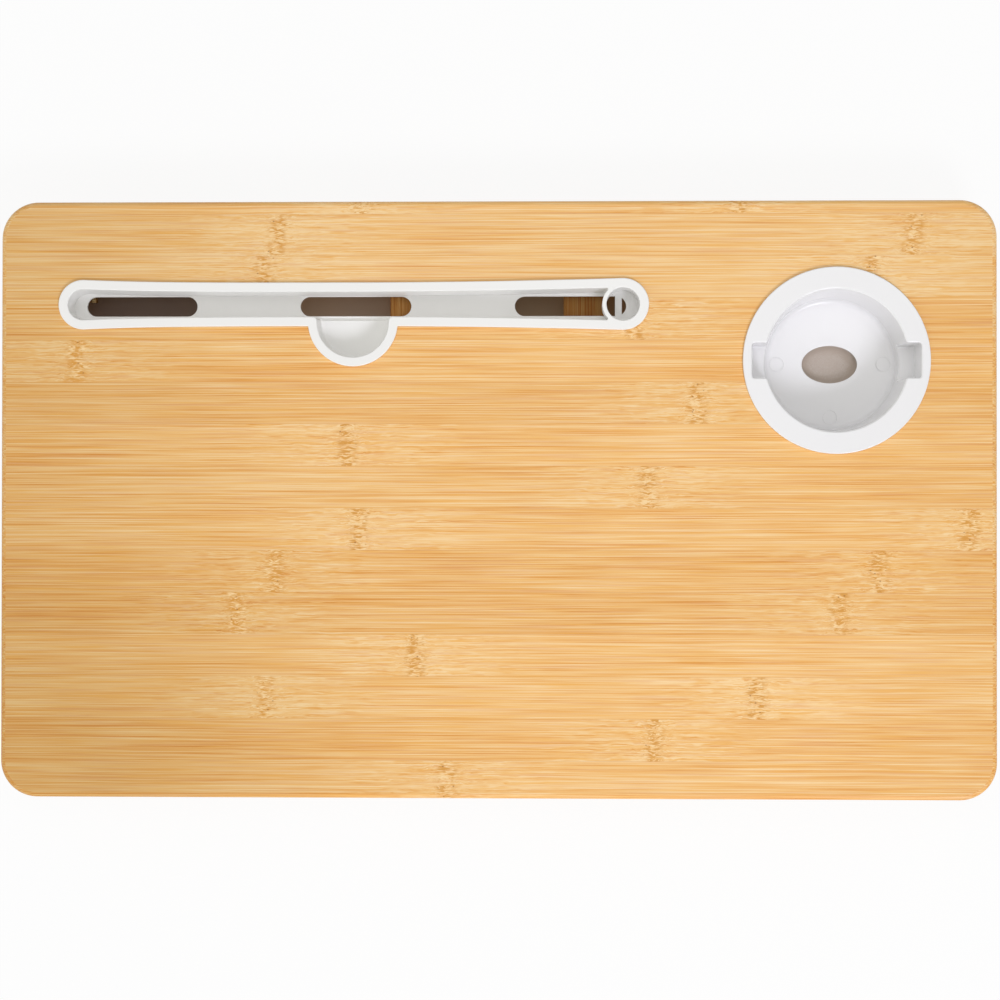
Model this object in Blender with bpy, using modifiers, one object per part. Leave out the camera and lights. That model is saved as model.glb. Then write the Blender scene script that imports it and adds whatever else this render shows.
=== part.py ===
"""Foldaway laptop table, lying folded with its legs tucked between the rails of its apron.

X runs along the table, Y towards its rear edge and Z up. The origin is on the ground, under the centre of
the board. All sizes are in metres. "Drop" is a depth below the underside of the board.
"""
import math

import bmesh
import bpy
from mathutils import Matrix

# Gap between two pieces that touch on the real table
SEAT_GAP = 0.0003

# Board of laminated bamboo
BOARD_LENGTH = 0.500
BOARD_DEPTH = 0.300
BOARD_THICKNESS = 0.012
BOARD_CORNER_RADIUS = 0.0185
BOARD_EDGE_ROUND = 0.0025

# Apron: four rails on edge under the board
RAIL_THICKNESS = 0.012
RAIL_END_INSET = 0.0165
RAIL_SIDE_INSET = 0.011
RAIL_EDGE_ROUND = 0.0015

# Folding legs: two posts and a crossbar each
LEG_DEPTH = 0.022
LEG_WIDTH = 0.015
LEG_EDGE_ROUND = 0.0015
LEG_SPLAY = math.radians(8)
LEG_GROUND_CLEARANCE = 0.0057
LEG_END_GAP = 0.0078
CROSSBAR_WIDTH = 0.0215
CROSSBAR_THICKNESS = 0.012
CROSSBAR_FROM_FOOT = 0.0365
CROSSBAR_CHANNEL_CLEARANCE = 0.003
FOOT_PAD_THICKNESS = 0.002
FOOT_PAD_INSET = 0.0005

# Pivots: one button-head bolt with a lock nut at each corner
BOLT_RADIUS = 0.0025
BOLT_HOLE_CLEARANCE = 0.0003
BOLT_HEAD_RADIUS = 0.00475
BOLT_HEAD_HEIGHT = 0.0027
BOLT_PROUD = 0.0026
HEX_KEY_FLATS = 0.003
HEX_KEY_DEPTH = 0.0015
SPACER_THICKNESS = 0.0012
SPACER_RADIUS = 0.007
WASHER_THICKNESS = 0.001
WASHER_RADIUS = 0.005
NUT_FLATS = 0.008
NUT_HEIGHT = 0.005
NUT_HEX_HEIGHT = 0.0036
NUT_COLLAR_RADIUS = 0.0034
NUT_CHANNEL_CLEARANCE = 0.0013
THREAD_CHAMFER = 0.0005

# Pan-head wood screws
SCREW_RADIUS = 0.002
SCREW_HOLE_CLEARANCE = 0.0003
SCREW_HEAD_RADIUS = 0.004
SCREW_HEAD_HEIGHT = 0.0028
SCREW_POINT = 0.004
SCREW_RECESS_LENGTH = 0.0042
SCREW_RECESS_WIDTH = 0.0011
SCREW_RECESS_DEPTH = 0.0014
COUNTERBORE_CLEARANCE = 0.0005
APRON_SCREW_SINK = 0.006
APRON_SCREW_COVER = 0.004
APRON_SCREW_FROM_PIVOT = 0.0427
APRON_SCREW_FROM_CORNER = 0.045
CROSSBAR_SCREW_SINK = 0.0006
CROSSBAR_SCREW_BITE = 0.022
CROSSBAR_SCREW_SPACING = 0.011

# Both plastic inserts
FLANGE_THICKNESS = 0.0015
FLANGE_EDGE_ROUND = 0.0005
INSERT_WALL = 0.0018
CUTOUT_CLEARANCE = 0.0004
LUG_WIDTH = 0.008
LUG_HEIGHT = 0.003
LUG_CATCH = 0.0008
LUG_STATIONS = (-0.8, -0.45, 0.45, 0.8)  # along the slot, as shares of its half length

# Tablet slot: a channel with a pen ring at its right end and a finger scoop at its front
CHANNEL_DEPTH = 0.018
SLOT_END_RADIUS = 0.0078
SLOT_WAIST_HALF = 0.0063
SLOT_REAR_DRAFT = 0.0007
SLOT_FRONT_DRAFT = 0.0002
SLOT_FLANGE_COVER = 0.0025
SLOT_RAIL_CLEARANCE = 0.0037
SLOT_LEG_CLEARANCE = 0.0021
SLOT_CUP_SPACING = 0.0468
PEN_RING_RADIUS = 0.0083
PEN_RING_WALL = 0.0021
PEN_RING_BAR_WIDTH = 0.0034
PEN_RING_BAR_FROM_CENTRE = 0.002
SCOOP_RADIUS = 0.0181
SCOOP_SETBACK = 0.0023
SCOOP_DRAFT = 0.0006
SCOOP_FLOOR_STEP = 0.002
SCOOP_FLANGE_COVER = 0.0023
FLOOR_HOLE_LENGTH = 0.0565
FLOOR_HOLE_END_MARGIN = 0.00635
FLOOR_LEDGE_REAR = 0.0002
FLOOR_LEDGE_FRONT = 0.0015

# Cup holder: a round well with a notch for a mug's handle at each side
CUP_RIM_RADIUS = 0.0363
CUP_DEPTH = 0.035
CUP_TAPER = 0.0026
CUP_FLOOR_FILLET = 0.003
CUP_GROUND_CLEARANCE = 0.005
CUP_LEG_CLEARANCE = 0.0024
CUP_RAIL_CLEARANCE = 0.0072
CUP_FLANGE_COVER = 0.0021
NOTCH_DEPTH = 0.0062
NOTCH_WIDTH = 0.0181
NOTCH_FLOOR_RISE = 0.010
NOTCH_CORNER_RADIUS = 0.0015
DRAIN_LENGTH = 0.0284
DRAIN_WIDTH = 0.0192

# Smoothness of round shapes
ARC_STEPS = 10
SIDE_STEPS = 6
TURN_STEPS = 16
SCREW_STEPS = 10
CUP_STEPS = 48
SCOOP_STEPS = 32

# Overshoot of a cutter past the face that it cuts, and depth of one solid in another that it is fused with
OVERSHOOT = 0.002
FUSE_DEPTH = 0.0007

# Heights, from the underside of the board down and up
flange_stack = FLANGE_THICKNESS + SEAT_GAP + BOARD_THICKNESS
channel_drop = CHANNEL_DEPTH + INSERT_WALL - flange_stack
cup_drop = CUP_DEPTH + INSERT_WALL - flange_stack
pivot_drop = max(LEG_DEPTH / 2 + SEAT_GAP, channel_drop + NUT_CHANNEL_CLEARANCE + NUT_FLATS / 2)
board_bottom = max(pivot_drop + LEG_DEPTH / 2 + LEG_GROUND_CLEARANCE, cup_drop + CUP_GROUND_CLEARANCE)
board_top = board_bottom + BOARD_THICKNESS
rail_height = board_bottom - SEAT_GAP
flange_bottom = board_top + SEAT_GAP
flange_top = flange_bottom + FLANGE_THICKNESS
flange_middle = flange_bottom + FLANGE_THICKNESS / 2
channel_floor = flange_top - CHANNEL_DEPTH
channel_bottom = board_bottom - channel_drop
cup_floor = flange_top - CUP_DEPTH
pivot_z = board_bottom - pivot_drop
crossbar_top = channel_bottom - CROSSBAR_CHANNEL_CLEARANCE
crossbar_z = crossbar_top - CROSSBAR_THICKNESS / 2

# Places across the table, from a rail inwards, for the rear side; the front side mirrors them
rail_outer_y = BOARD_DEPTH / 2 - RAIL_SIDE_INSET
rail_inner_y = rail_outer_y - RAIL_THICKNESS
rail_y = rail_outer_y - RAIL_THICKNESS / 2
spacer_outer_y = rail_inner_y - SEAT_GAP
spacer_inner_y = spacer_outer_y - SPACER_THICKNESS
post_outer_y = spacer_inner_y - SEAT_GAP
post_inner_y = post_outer_y - LEG_WIDTH
post_y = post_outer_y - LEG_WIDTH / 2
washer_outer_y = post_inner_y - SEAT_GAP
washer_inner_y = washer_outer_y - WASHER_THICKNESS
nut_outer_y = washer_inner_y - SEAT_GAP
nut_inner_y = nut_outer_y - NUT_HEIGHT
bolt_tip_y = nut_inner_y - BOLT_PROUD
bolt_seat_y = rail_outer_y + SEAT_GAP

# Places along the table; an unfolded leg leans on the lower inner edge of its end rail
end_rail_outer_x = BOARD_LENGTH / 2 - RAIL_END_INSET
end_rail_inner_x = end_rail_outer_x - RAIL_THICKNESS
end_rail_x = end_rail_outer_x - RAIL_THICKNESS / 2
stop_reach = LEG_DEPTH / 2 / math.cos(LEG_SPLAY) + pivot_z * math.tan(LEG_SPLAY) + SEAT_GAP
pivot_x = end_rail_inner_x - stop_reach
foot_slant = LEG_DEPTH / 2 * math.tan(LEG_SPLAY)
foot_reach = foot_slant + (FOOT_PAD_THICKNESS + SEAT_GAP) / math.cos(LEG_SPLAY)
leg_length = pivot_x - LEG_END_GAP / 2 - foot_reach

# Cup holder
notch_reach = CUP_RIM_RADIUS + NOTCH_DEPTH
notch_floor = cup_floor + NOTCH_FLOOR_RISE
cup_flange_radius = notch_reach + INSERT_WALL + CUTOUT_CLEARANCE + CUP_FLANGE_COVER
cup_x = end_rail_inner_x - CUP_RAIL_CLEARANCE - INSERT_WALL - notch_reach
cup_y = post_inner_y - CUP_LEG_CLEARANCE - INSERT_WALL - CUP_RIM_RADIUS

# Tablet slot
slot_flange_offset = INSERT_WALL + CUTOUT_CLEARANCE + SLOT_FLANGE_COVER
slot_y = post_inner_y - SLOT_LEG_CLEARANCE - INSERT_WALL - PEN_RING_RADIUS
slot_left_end = SLOT_RAIL_CLEARANCE + INSERT_WALL - end_rail_inner_x
slot_right_end = cup_x - cup_flange_radius - SLOT_CUP_SPACING - slot_flange_offset
slot_middle_x = (slot_left_end + slot_right_end) / 2
slot_left_x = slot_left_end + SLOT_END_RADIUS
pen_ring_x = slot_right_end - PEN_RING_RADIUS
scoop_y = slot_y - SLOT_WAIST_HALF - SCOOP_SETBACK
scoop_floor = channel_floor + SCOOP_FLOOR_STEP
scoop_flange_radius = SCOOP_RADIUS + INSERT_WALL + CUTOUT_CLEARANCE + SCOOP_FLANGE_COVER
floor_hole_rear_y = slot_y + SLOT_WAIST_HALF - SLOT_REAR_DRAFT - FLOOR_LEDGE_REAR
floor_hole_front_y = slot_y - SLOT_WAIST_HALF + SLOT_FRONT_DRAFT + FLOOR_LEDGE_FRONT
floor_hole_width = floor_hole_rear_y - floor_hole_front_y
floor_hole_y = (floor_hole_rear_y + floor_hole_front_y) / 2
floor_hole_pitch = (slot_right_end - slot_left_end - FLOOR_HOLE_LENGTH) / 2 - FLOOR_HOLE_END_MARGIN

# Fasteners
bolt_hole_radius = BOLT_RADIUS + BOLT_HOLE_CLEARANCE
screw_hole_radius = SCREW_RADIUS + SCREW_HOLE_CLEARANCE
counterbore_radius = SCREW_HEAD_RADIUS + COUNTERBORE_CLEARANCE
apron_screw_tip = board_top - APRON_SCREW_COVER
apron_screw_head_top = APRON_SCREW_SINK + SCREW_HEAD_HEIGHT
crossbar_end_y = post_inner_y - SEAT_GAP


def start_afresh():
    """Empty the scene and give it one collection for the parts and one for the cutters."""
    for leftover in list(bpy.data.objects):
        bpy.data.objects.remove(leftover, do_unlink=True)
    collections = []
    for name in ("foldaway_laptop_table", "cutters"):
        collection = bpy.data.collections.new(name)
        bpy.context.scene.collection.children.link(collection)
        collections.append(collection)
    return collections


PARTS, CUTTERS = start_afresh()


def linear(display_value):
    """Linear light of a display value from 0 to 255."""
    share = display_value / 255
    if share <= 0.04045:
        return share / 12.92
    return ((share + 0.055) / 1.055) ** 2.4


def finish(name, display_colour, roughness, metallic=0.0):
    """Principled material of one colour, given as it shows on screen."""
    material = bpy.data.materials.new(name)
    material.use_nodes = True
    shader = material.node_tree.nodes["Principled BSDF"]
    colour = [linear(value) for value in display_colour] + [1.0]
    shader.inputs["Base Color"].default_value = colour
    shader.inputs["Roughness"].default_value = roughness
    shader.inputs["Metallic"].default_value = metallic
    material.diffuse_color = colour
    return material


BAMBOO = finish("bamboo", (236, 189, 126), 0.45)
LEG_BAMBOO = finish("leg_bamboo", (214, 166, 104), 0.5)
WHITE_PLASTIC = finish("white_plastic", (241, 240, 238), 0.4)
ZINC_STEEL = finish("zinc_steel", (188, 192, 198), 0.3, 1.0)
NYLON = finish("nylon", (226, 224, 214), 0.5)
RUBBER = finish("rubber", (46, 46, 48), 0.85)


def finished_mesh(name, bm, material):
    """Mesh of a part, shaded smooth over its round stretches."""
    bmesh.ops.recalc_face_normals(bm, faces=bm.faces[:])
    mesh = bpy.data.meshes.new(name)
    bm.to_mesh(mesh)
    bm.free()
    mesh.materials.append(material)
    mesh.shade_smooth()
    mesh.set_sharp_from_angle(angle=math.radians(30))
    return mesh


def make_object(name, bm, material=None):
    """Object from a bmesh: a part if it has a material, and else a cutter or guide."""
    if material is not None:
        piece = bpy.data.objects.new(name, finished_mesh(name, bm, material))
        PARTS.objects.link(piece)
        return piece
    bmesh.ops.recalc_face_normals(bm, faces=bm.faces[:])
    mesh = bpy.data.meshes.new(name)
    bm.to_mesh(mesh)
    bm.free()
    piece = bpy.data.objects.new(name, mesh)
    CUTTERS.objects.link(piece)
    piece.hide_render = True
    piece.display_type = "WIRE"
    return piece


def evaluated_bmesh(source):
    """The source object as its modifiers or its curve make it, as a welded bmesh in world space."""
    bpy.context.view_layer.update()
    depsgraph = bpy.context.evaluated_depsgraph_get()
    mesh = bpy.data.meshes.new_from_object(source.evaluated_get(depsgraph))
    bm = bmesh.new()
    bm.from_mesh(mesh)
    bm.transform(source.matrix_world)
    bmesh.ops.remove_doubles(bm, verts=bm.verts[:], dist=0.000001)
    bpy.data.meshes.remove(mesh)
    bpy.data.objects.remove(source, do_unlink=True)
    return bm


def merge_flat_faces(bm):
    """Make one face of each flat stretch, so that a Boolean meets no needless edges."""
    bmesh.ops.dissolve_limit(bm, angle_limit=math.radians(0.1), verts=bm.verts[:], edges=bm.edges[:])
    return bm


def fuse(piece, *bodies):
    """Join other bodies to a piece."""
    for body in bodies:
        boolean = piece.modifiers.new(body.name, "BOOLEAN")
        boolean.operation = "UNION"
        boolean.solver = "EXACT"
        boolean.object = body


def cut(piece, *cutters):
    """Take cutters away from a piece."""
    for cutter in cutters:
        boolean = piece.modifiers.new(cutter.name, "BOOLEAN")
        boolean.operation = "DIFFERENCE"
        boolean.solver = "EXACT"
        boolean.object = cutter


def soften(piece, width, segments=2):
    """Round a piece's sharp edges."""
    bevel = piece.modifiers.new("rounded_edges", "BEVEL")
    bevel.width = width
    bevel.segments = segments
    bevel.limit_method = "ANGLE"
    bevel.angle_limit = math.radians(40)


def arc(centre, radius, start, end, steps=ARC_STEPS):
    """Points along an arc from one angle to another, in degrees, with both ends."""
    points = []
    for index in range(steps + 1):
        angle = math.radians(start + (end - start) * index / steps)
        points.append((centre[0] + radius * math.cos(angle), centre[1] + radius * math.sin(angle)))
    return points


def plate(outline, low, high):
    """Bmesh of a flat plate with the given outline, between two heights."""
    curve = bpy.data.curves.new("outline", "CURVE")
    curve.dimensions = "2D"
    curve.fill_mode = "BOTH"
    curve.extrude = (high - low) / 2
    spline = curve.splines.new("POLY")
    spline.points.add(len(outline) - 1)
    for point, (x, y) in zip(spline.points, outline):
        point.co = (x, y, 0, 1)
    spline.use_cyclic_u = True
    guide = bpy.data.objects.new("outline", curve)
    guide.location.z = (low + high) / 2
    CUTTERS.objects.link(guide)
    return merge_flat_faces(evaluated_bmesh(guide))


def block(size, centre, corner_radius=0.0):
    """Bmesh of a box, with its upright edges rounded where a radius is given."""
    bm = bmesh.new()
    bmesh.ops.create_cube(bm, size=1, matrix=Matrix.Translation(centre) @ Matrix.Diagonal((*size, 1)))
    if corner_radius > 0:
        upright = [edge for edge in bm.edges if abs(edge.verts[0].co.z - edge.verts[1].co.z) > size[2] / 2]
        bmesh.ops.bevel(
            bm, geom=upright, offset=corner_radius, segments=ARC_STEPS // 2, affect="EDGES", profile=0.5
        )
    return bm


def drills(name, places, radius, low, high, steps=SCREW_STEPS):
    """One cutter of upright drills at several places."""
    bm = bmesh.new()
    for x, y in places:
        bmesh.ops.create_cone(
            bm,
            cap_ends=True,
            segments=steps,
            radius1=radius,
            radius2=radius,
            depth=high - low,
            matrix=Matrix.Translation((x, y, (low + high) / 2)),
        )
    return make_object(name, bm)


def turned(profile, steps=TURN_STEPS):
    """Bmesh turned about Z from (radius, height) points that run down the outer side."""
    bm = bmesh.new()
    verts = [bm.verts.new((radius, 0, height)) for radius, height in profile]
    for above, below in zip(verts, verts[1:]):
        bm.edges.new((above, below))
    mesh = bpy.data.meshes.new("profile")
    bm.to_mesh(mesh)
    bm.free()
    guide = bpy.data.objects.new("profile", mesh)
    CUTTERS.objects.link(guide)
    screw = guide.modifiers.new("turn", "SCREW")
    screw.angle = math.tau
    screw.steps = steps
    screw.render_steps = steps
    screw.use_merge_vertices = True
    screw.merge_threshold = 0.000001
    return merge_flat_faces(evaluated_bmesh(guide))


def ring(inner_radius, outer_radius, thickness):
    """Bmesh of a flat ring about Z, from height 0 up."""
    profile = [
        (inner_radius, thickness),
        (outer_radius, thickness),
        (outer_radius, 0),
        (inner_radius, 0),
        (inner_radius, thickness),
    ]
    return turned(profile)


def facing(side):
    """Turns +Z to face outwards across the table: side is 1 at the rear and -1 at the front."""
    return Matrix.Rotation(-side * math.pi / 2, 4, "X")


def add_copy(target, source, matrix):
    """Add a moved copy of one bmesh to another."""
    mesh = bpy.data.meshes.new("copy")
    source.to_mesh(mesh)
    mesh.transform(matrix)
    target.from_mesh(mesh)
    bpy.data.meshes.remove(mesh)


def slot_half_width(x):
    """Half the width of the tablet slot at x: narrowest in the middle."""
    if x < slot_middle_x:
        share = (slot_middle_x - x) / (slot_middle_x - slot_left_x)
        return SLOT_WAIST_HALF + (SLOT_END_RADIUS - SLOT_WAIST_HALF) * share**4
    share = (x - slot_middle_x) / (pen_ring_x - slot_middle_x)
    return SLOT_WAIST_HALF + (PEN_RING_RADIUS - SLOT_WAIST_HALF) * share**2


def slot_outline(offset):
    """Outline of the tablet slot, offset outwards: a waisted bar with two round ends."""
    side = []
    for start, end in ((slot_left_x, slot_middle_x), (slot_middle_x, pen_ring_x)):
        for index in range(1, SIDE_STEPS + 1):
            x = start + (end - start) * index / SIDE_STEPS
            side.append((x, slot_half_width(x) + offset))
    side.pop()
    front = [(x, slot_y - half) for x, half in side]
    rear = [(x, slot_y + half) for x, half in reversed(side)]
    left_end = arc((slot_left_x, slot_y), SLOT_END_RADIUS + offset, 90, 270)
    right_end = arc((pen_ring_x, slot_y), PEN_RING_RADIUS + offset, 270, 450)
    return left_end + front + right_end + rear


def scoop_outline(radius):
    """Outline of the scoop: half round at the front, with straight sides back into the slot."""
    return arc((slot_middle_x, scoop_y), radius, 180, 360, SCOOP_STEPS // 2) + [
        (slot_middle_x + radius, slot_y),
        (slot_middle_x - radius, slot_y),
    ]


def scoop_pocket(radius, low, high):
    """Bmesh of the scoop's pocket, whose round front and sides lean in towards its floor."""
    bm = plate(scoop_outline(radius), low, high)
    for vert in bm.verts:
        if vert.co.z < (low + high) / 2:
            vert.co.x += (slot_middle_x - vert.co.x) * SCOOP_DRAFT / radius
            vert.co.y += max(0, scoop_y - vert.co.y) * SCOOP_DRAFT / radius
    return bm


def add_lug(bm, centre, angle, wall_reach, catch_reach):
    """Add a snap lug: a wedge whose flat top catches under the board."""
    high = board_bottom - SEAT_GAP
    root = wall_reach - INSERT_WALL
    lug = bmesh.new()
    bmesh.ops.create_cube(lug, size=1)
    for vert in lug.verts:
        outer = vert.co.x > 0
        upper = vert.co.z > 0
        vert.co.x = (catch_reach if upper else wall_reach - FUSE_DEPTH) if outer else root
        vert.co.y *= LUG_WIDTH
        vert.co.z = high if upper else high - LUG_HEIGHT
    add_copy(bm, lug, Matrix.Translation((*centre, 0)) @ Matrix.Rotation(angle, 4, "Z"))
    lug.free()


def slot_lugs():
    """Snap lugs along both long walls of the slot."""
    bm = bmesh.new()
    half_length = (slot_right_end - slot_left_end) / 2
    for share in LUG_STATIONS:
        x = slot_middle_x + share * half_length
        wall_reach = slot_half_width(x) + INSERT_WALL
        catch_reach = wall_reach + CUTOUT_CLEARANCE + LUG_CATCH
        for angle in (math.pi / 2, -math.pi / 2):
            add_lug(bm, (x, slot_y), angle, wall_reach, catch_reach)
    return make_object("slot_lugs", bm)


def stadium(x, y, length, width):
    """Outline of a slot with round ends."""
    reach = (length - width) / 2
    right = arc((x + reach, y), width / 2, -90, 90)
    left = arc((x - reach, y), width / 2, 90, 270)
    return right + left


def slot_floor_holes():
    """Cutters for the three drain slots; a bar is left across the one that runs under the pen ring."""
    low = channel_bottom - OVERSHOOT
    high = channel_floor + SEAT_GAP / 2
    holes = []
    for index in (-1, 0, 1):
        x = slot_middle_x + index * floor_hole_pitch
        bm = plate(stadium(x, floor_hole_y, FLOOR_HOLE_LENGTH, floor_hole_width), low, high)
        holes.append(make_object(f"floor_hole_{index + 2}", bm))
    size = (PEN_RING_BAR_WIDTH, 2 * floor_hole_width, 2 * (INSERT_WALL + 2 * OVERSHOOT))
    centre = (pen_ring_x - PEN_RING_BAR_FROM_CENTRE, floor_hole_y, channel_floor)
    cut(holes[-1], make_object("pen_ring_bar", block(size, centre)))
    return holes


def slot_cavity():
    """Cutter for the channel: its walls lean in, and it ends at the wall round the pen ring."""
    high = flange_top + OVERSHOOT
    bm = plate(slot_outline(0), channel_floor, high)
    for vert in bm.verts:
        if vert.co.z < flange_top:
            draft = SLOT_REAR_DRAFT if vert.co.y > slot_y else SLOT_FRONT_DRAFT
            vert.co.y = slot_y + (vert.co.y - slot_y) * (1 - draft / SLOT_WAIST_HALF)
    cavity = make_object("slot_cavity", bm)
    place = [(pen_ring_x, slot_y)]
    radius = PEN_RING_RADIUS + PEN_RING_WALL
    low = channel_floor - OVERSHOOT
    cut(cavity, drills("pen_ring_wall", place, radius, low, high + OVERSHOOT, 2 * TURN_STEPS))
    return cavity


def tablet_slot_insert():
    """White moulding that holds a tablet or phone upright."""
    flange = plate(slot_outline(slot_flange_offset), flange_bottom, flange_top)
    insert = make_object("tablet_slot_insert", flange, WHITE_PLASTIC)
    scoop_flange = make_object(
        "scoop_flange", plate(scoop_outline(scoop_flange_radius), flange_bottom, flange_top)
    )
    trough = make_object("slot_trough", plate(slot_outline(INSERT_WALL), channel_bottom, flange_middle))
    outside = scoop_pocket(SCOOP_RADIUS + INSERT_WALL, scoop_floor - INSERT_WALL, flange_middle)
    scoop_outside = make_object("scoop_outside", outside)
    high = flange_top + OVERSHOOT
    scoop_inside = make_object("scoop_inside", scoop_pocket(SCOOP_RADIUS, scoop_floor, high))
    pen_place = [(pen_ring_x, slot_y)]
    pen_bore = drills("pen_ring_bore", pen_place, PEN_RING_RADIUS, channel_floor, high, 2 * TURN_STEPS)
    fuse(insert, scoop_flange, trough, scoop_outside, slot_lugs())
    cut(insert, slot_cavity(), pen_bore, scoop_inside, *slot_floor_holes())
    return insert


def cup_well_side(wall, high):
    """Profile of the cup's well from a height down its leaning side and round its floor's fillet."""
    fillet = CUP_FLOOR_FILLET + wall
    floor_radius = CUP_RIM_RADIUS - CUP_TAPER + wall
    bend = cup_floor + CUP_FLOOR_FILLET
    top_radius = floor_radius + CUP_TAPER * (high - bend) / (flange_top - bend)
    return [(top_radius, high)] + arc((floor_radius - fillet, bend), fillet, 0, -90, 4) + [(0, bend - fillet)]


def notch_block(name, grow, low, high):
    """Block through the cup's centre that makes both handle notches, grown by a wall or a clearance."""
    size = (2 * (notch_reach + grow), NOTCH_WIDTH + 2 * grow, high - low)
    centre = (cup_x, cup_y, (low + high) / 2)
    return make_object(name, block(size, centre, NOTCH_CORNER_RADIUS + grow))


def cup_holder_insert():
    """White moulding that holds a cup or mug."""
    flange_edge = [
        (0, flange_top),
        (cup_flange_radius - FLANGE_EDGE_ROUND, flange_top),
        (cup_flange_radius, flange_top - FLANGE_EDGE_ROUND),
        (cup_flange_radius, flange_bottom),
    ]
    place = Matrix.Translation((cup_x, cup_y, 0))
    body = turned(flange_edge + cup_well_side(INSERT_WALL, flange_bottom), CUP_STEPS)
    body.transform(place)
    insert = make_object("cup_holder_insert", body, WHITE_PLASTIC)
    high = flange_top + OVERSHOOT
    cavity = turned([(0, high)] + cup_well_side(0, high), CUP_STEPS)
    cavity.transform(place)
    lugs = bmesh.new()
    for corner in range(4):
        wall_reach = CUP_RIM_RADIUS + INSERT_WALL
        catch_reach = wall_reach + CUTOUT_CLEARANCE + LUG_CATCH
        angle = math.radians(45 + 90 * corner)
        add_lug(lugs, (cup_x, cup_y), angle, wall_reach - FUSE_DEPTH, catch_reach)
    drain = bmesh.new()
    bmesh.ops.create_cone(
        drain,
        cap_ends=True,
        segments=2 * TURN_STEPS,
        radius1=DRAIN_LENGTH / 2,
        radius2=DRAIN_LENGTH / 2,
        depth=2 * (INSERT_WALL + OVERSHOOT),
        matrix=Matrix.Translation((cup_x, cup_y, cup_floor))
        @ Matrix.Diagonal((1, DRAIN_WIDTH / DRAIN_LENGTH, 1, 1)),
    )
    outer_notch = notch_block("notch_outside", INSERT_WALL, notch_floor - INSERT_WALL, flange_middle)
    inner_notch = notch_block("notch_inside", 0, notch_floor, flange_top + OVERSHOOT)
    fuse(insert, outer_notch, make_object("cup_lugs", lugs))
    cut(insert, make_object("cup_cavity", cavity), inner_notch, make_object("cup_drain", drain))
    return insert


def apron_screw_places():
    """Where the apron's screws stand, by rail."""
    along = pivot_x - APRON_SCREW_FROM_PIVOT
    across = rail_inner_y - APRON_SCREW_FROM_CORNER
    return {
        "front_rail": [(x, -rail_y) for x in (-along, 0, along)],
        "rear_rail": [(x, rail_y) for x in (-along, 0, along)],
        "left_end_rail": [(-end_rail_x, y) for y in (-across, across)],
        "right_end_rail": [(end_rail_x, y) for y in (-across, across)],
    }


def tabletop():
    """Bamboo board with rounded corners and edges, cut out for both inserts and drilled for the screws."""
    size = (BOARD_LENGTH, BOARD_DEPTH, BOARD_THICKNESS)
    bm = block(size, (0, 0, (board_bottom + board_top) / 2), BOARD_CORNER_RADIUS)
    board = make_object("tabletop", bm, BAMBOO)
    soften(board, BOARD_EDGE_ROUND, 3)
    low = board_bottom - OVERSHOOT
    high = board_top + OVERSHOOT
    grow = INSERT_WALL + CUTOUT_CLEARANCE
    slot = make_object("slot_cutout", plate(slot_outline(grow), low, high))
    scoop = make_object("scoop_cutout", plate(scoop_outline(SCOOP_RADIUS + grow), low, high))
    cup = drills("cup_cutout", [(cup_x, cup_y)], CUP_RIM_RADIUS + grow, low, high, CUP_STEPS)
    notch = notch_block("notch_cutout", grow, low, high)
    places = [place for rail_places in apron_screw_places().values() for place in rail_places]
    pilots = drills("board_pilots", places, screw_hole_radius, low, apron_screw_tip + SEAT_GAP)
    cut(board, slot, scoop, cup, notch, pilots)
    return board


def bolt_drills(name, x_places, y_centre, length):
    """Cutter of drills across the table at the height of the pivots."""
    bm = bmesh.new()
    for x in x_places:
        bmesh.ops.create_cone(
            bm,
            cap_ends=True,
            segments=TURN_STEPS,
            radius1=bolt_hole_radius,
            radius2=bolt_hole_radius,
            depth=length,
            matrix=Matrix.Translation((x, y_centre, pivot_z)) @ Matrix.Rotation(math.pi / 2, 4, "X"),
        )
    return make_object(name, bm)


def rail(name, size, centre, places):
    """Bamboo rail on edge, drilled and counterbored from below for its screws."""
    piece = make_object(name, block(size, centre), BAMBOO)
    soften(piece, RAIL_EDGE_ROUND)
    holes = drills(f"{name}_holes", places, screw_hole_radius, -OVERSHOOT, rail_height + OVERSHOOT)
    seat = apron_screw_head_top + SEAT_GAP
    counterbores = drills(f"{name}_counterbores", places, counterbore_radius, -OVERSHOOT, seat)
    cut(piece, holes, counterbores)
    return piece


def apron():
    """The four rails: long ones at the front and rear, and short ones between them."""
    places = apron_screw_places()
    long_size = (2 * end_rail_outer_x, RAIL_THICKNESS, rail_height)
    for name, side in (("front_rail", -1), ("rear_rail", 1)):
        piece = rail(name, long_size, (0, side * rail_y, rail_height / 2), places[name])
        length = RAIL_THICKNESS + 2 * OVERSHOOT
        cut(piece, bolt_drills(f"{name}_bolt_holes", (-pivot_x, pivot_x), side * rail_y, length))
    short_size = (RAIL_THICKNESS, 2 * (rail_inner_y - SEAT_GAP), rail_height)
    for name, side in (("left_end_rail", -1), ("right_end_rail", 1)):
        rail(name, short_size, (side * end_rail_x, 0, rail_height / 2), places[name])


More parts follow.
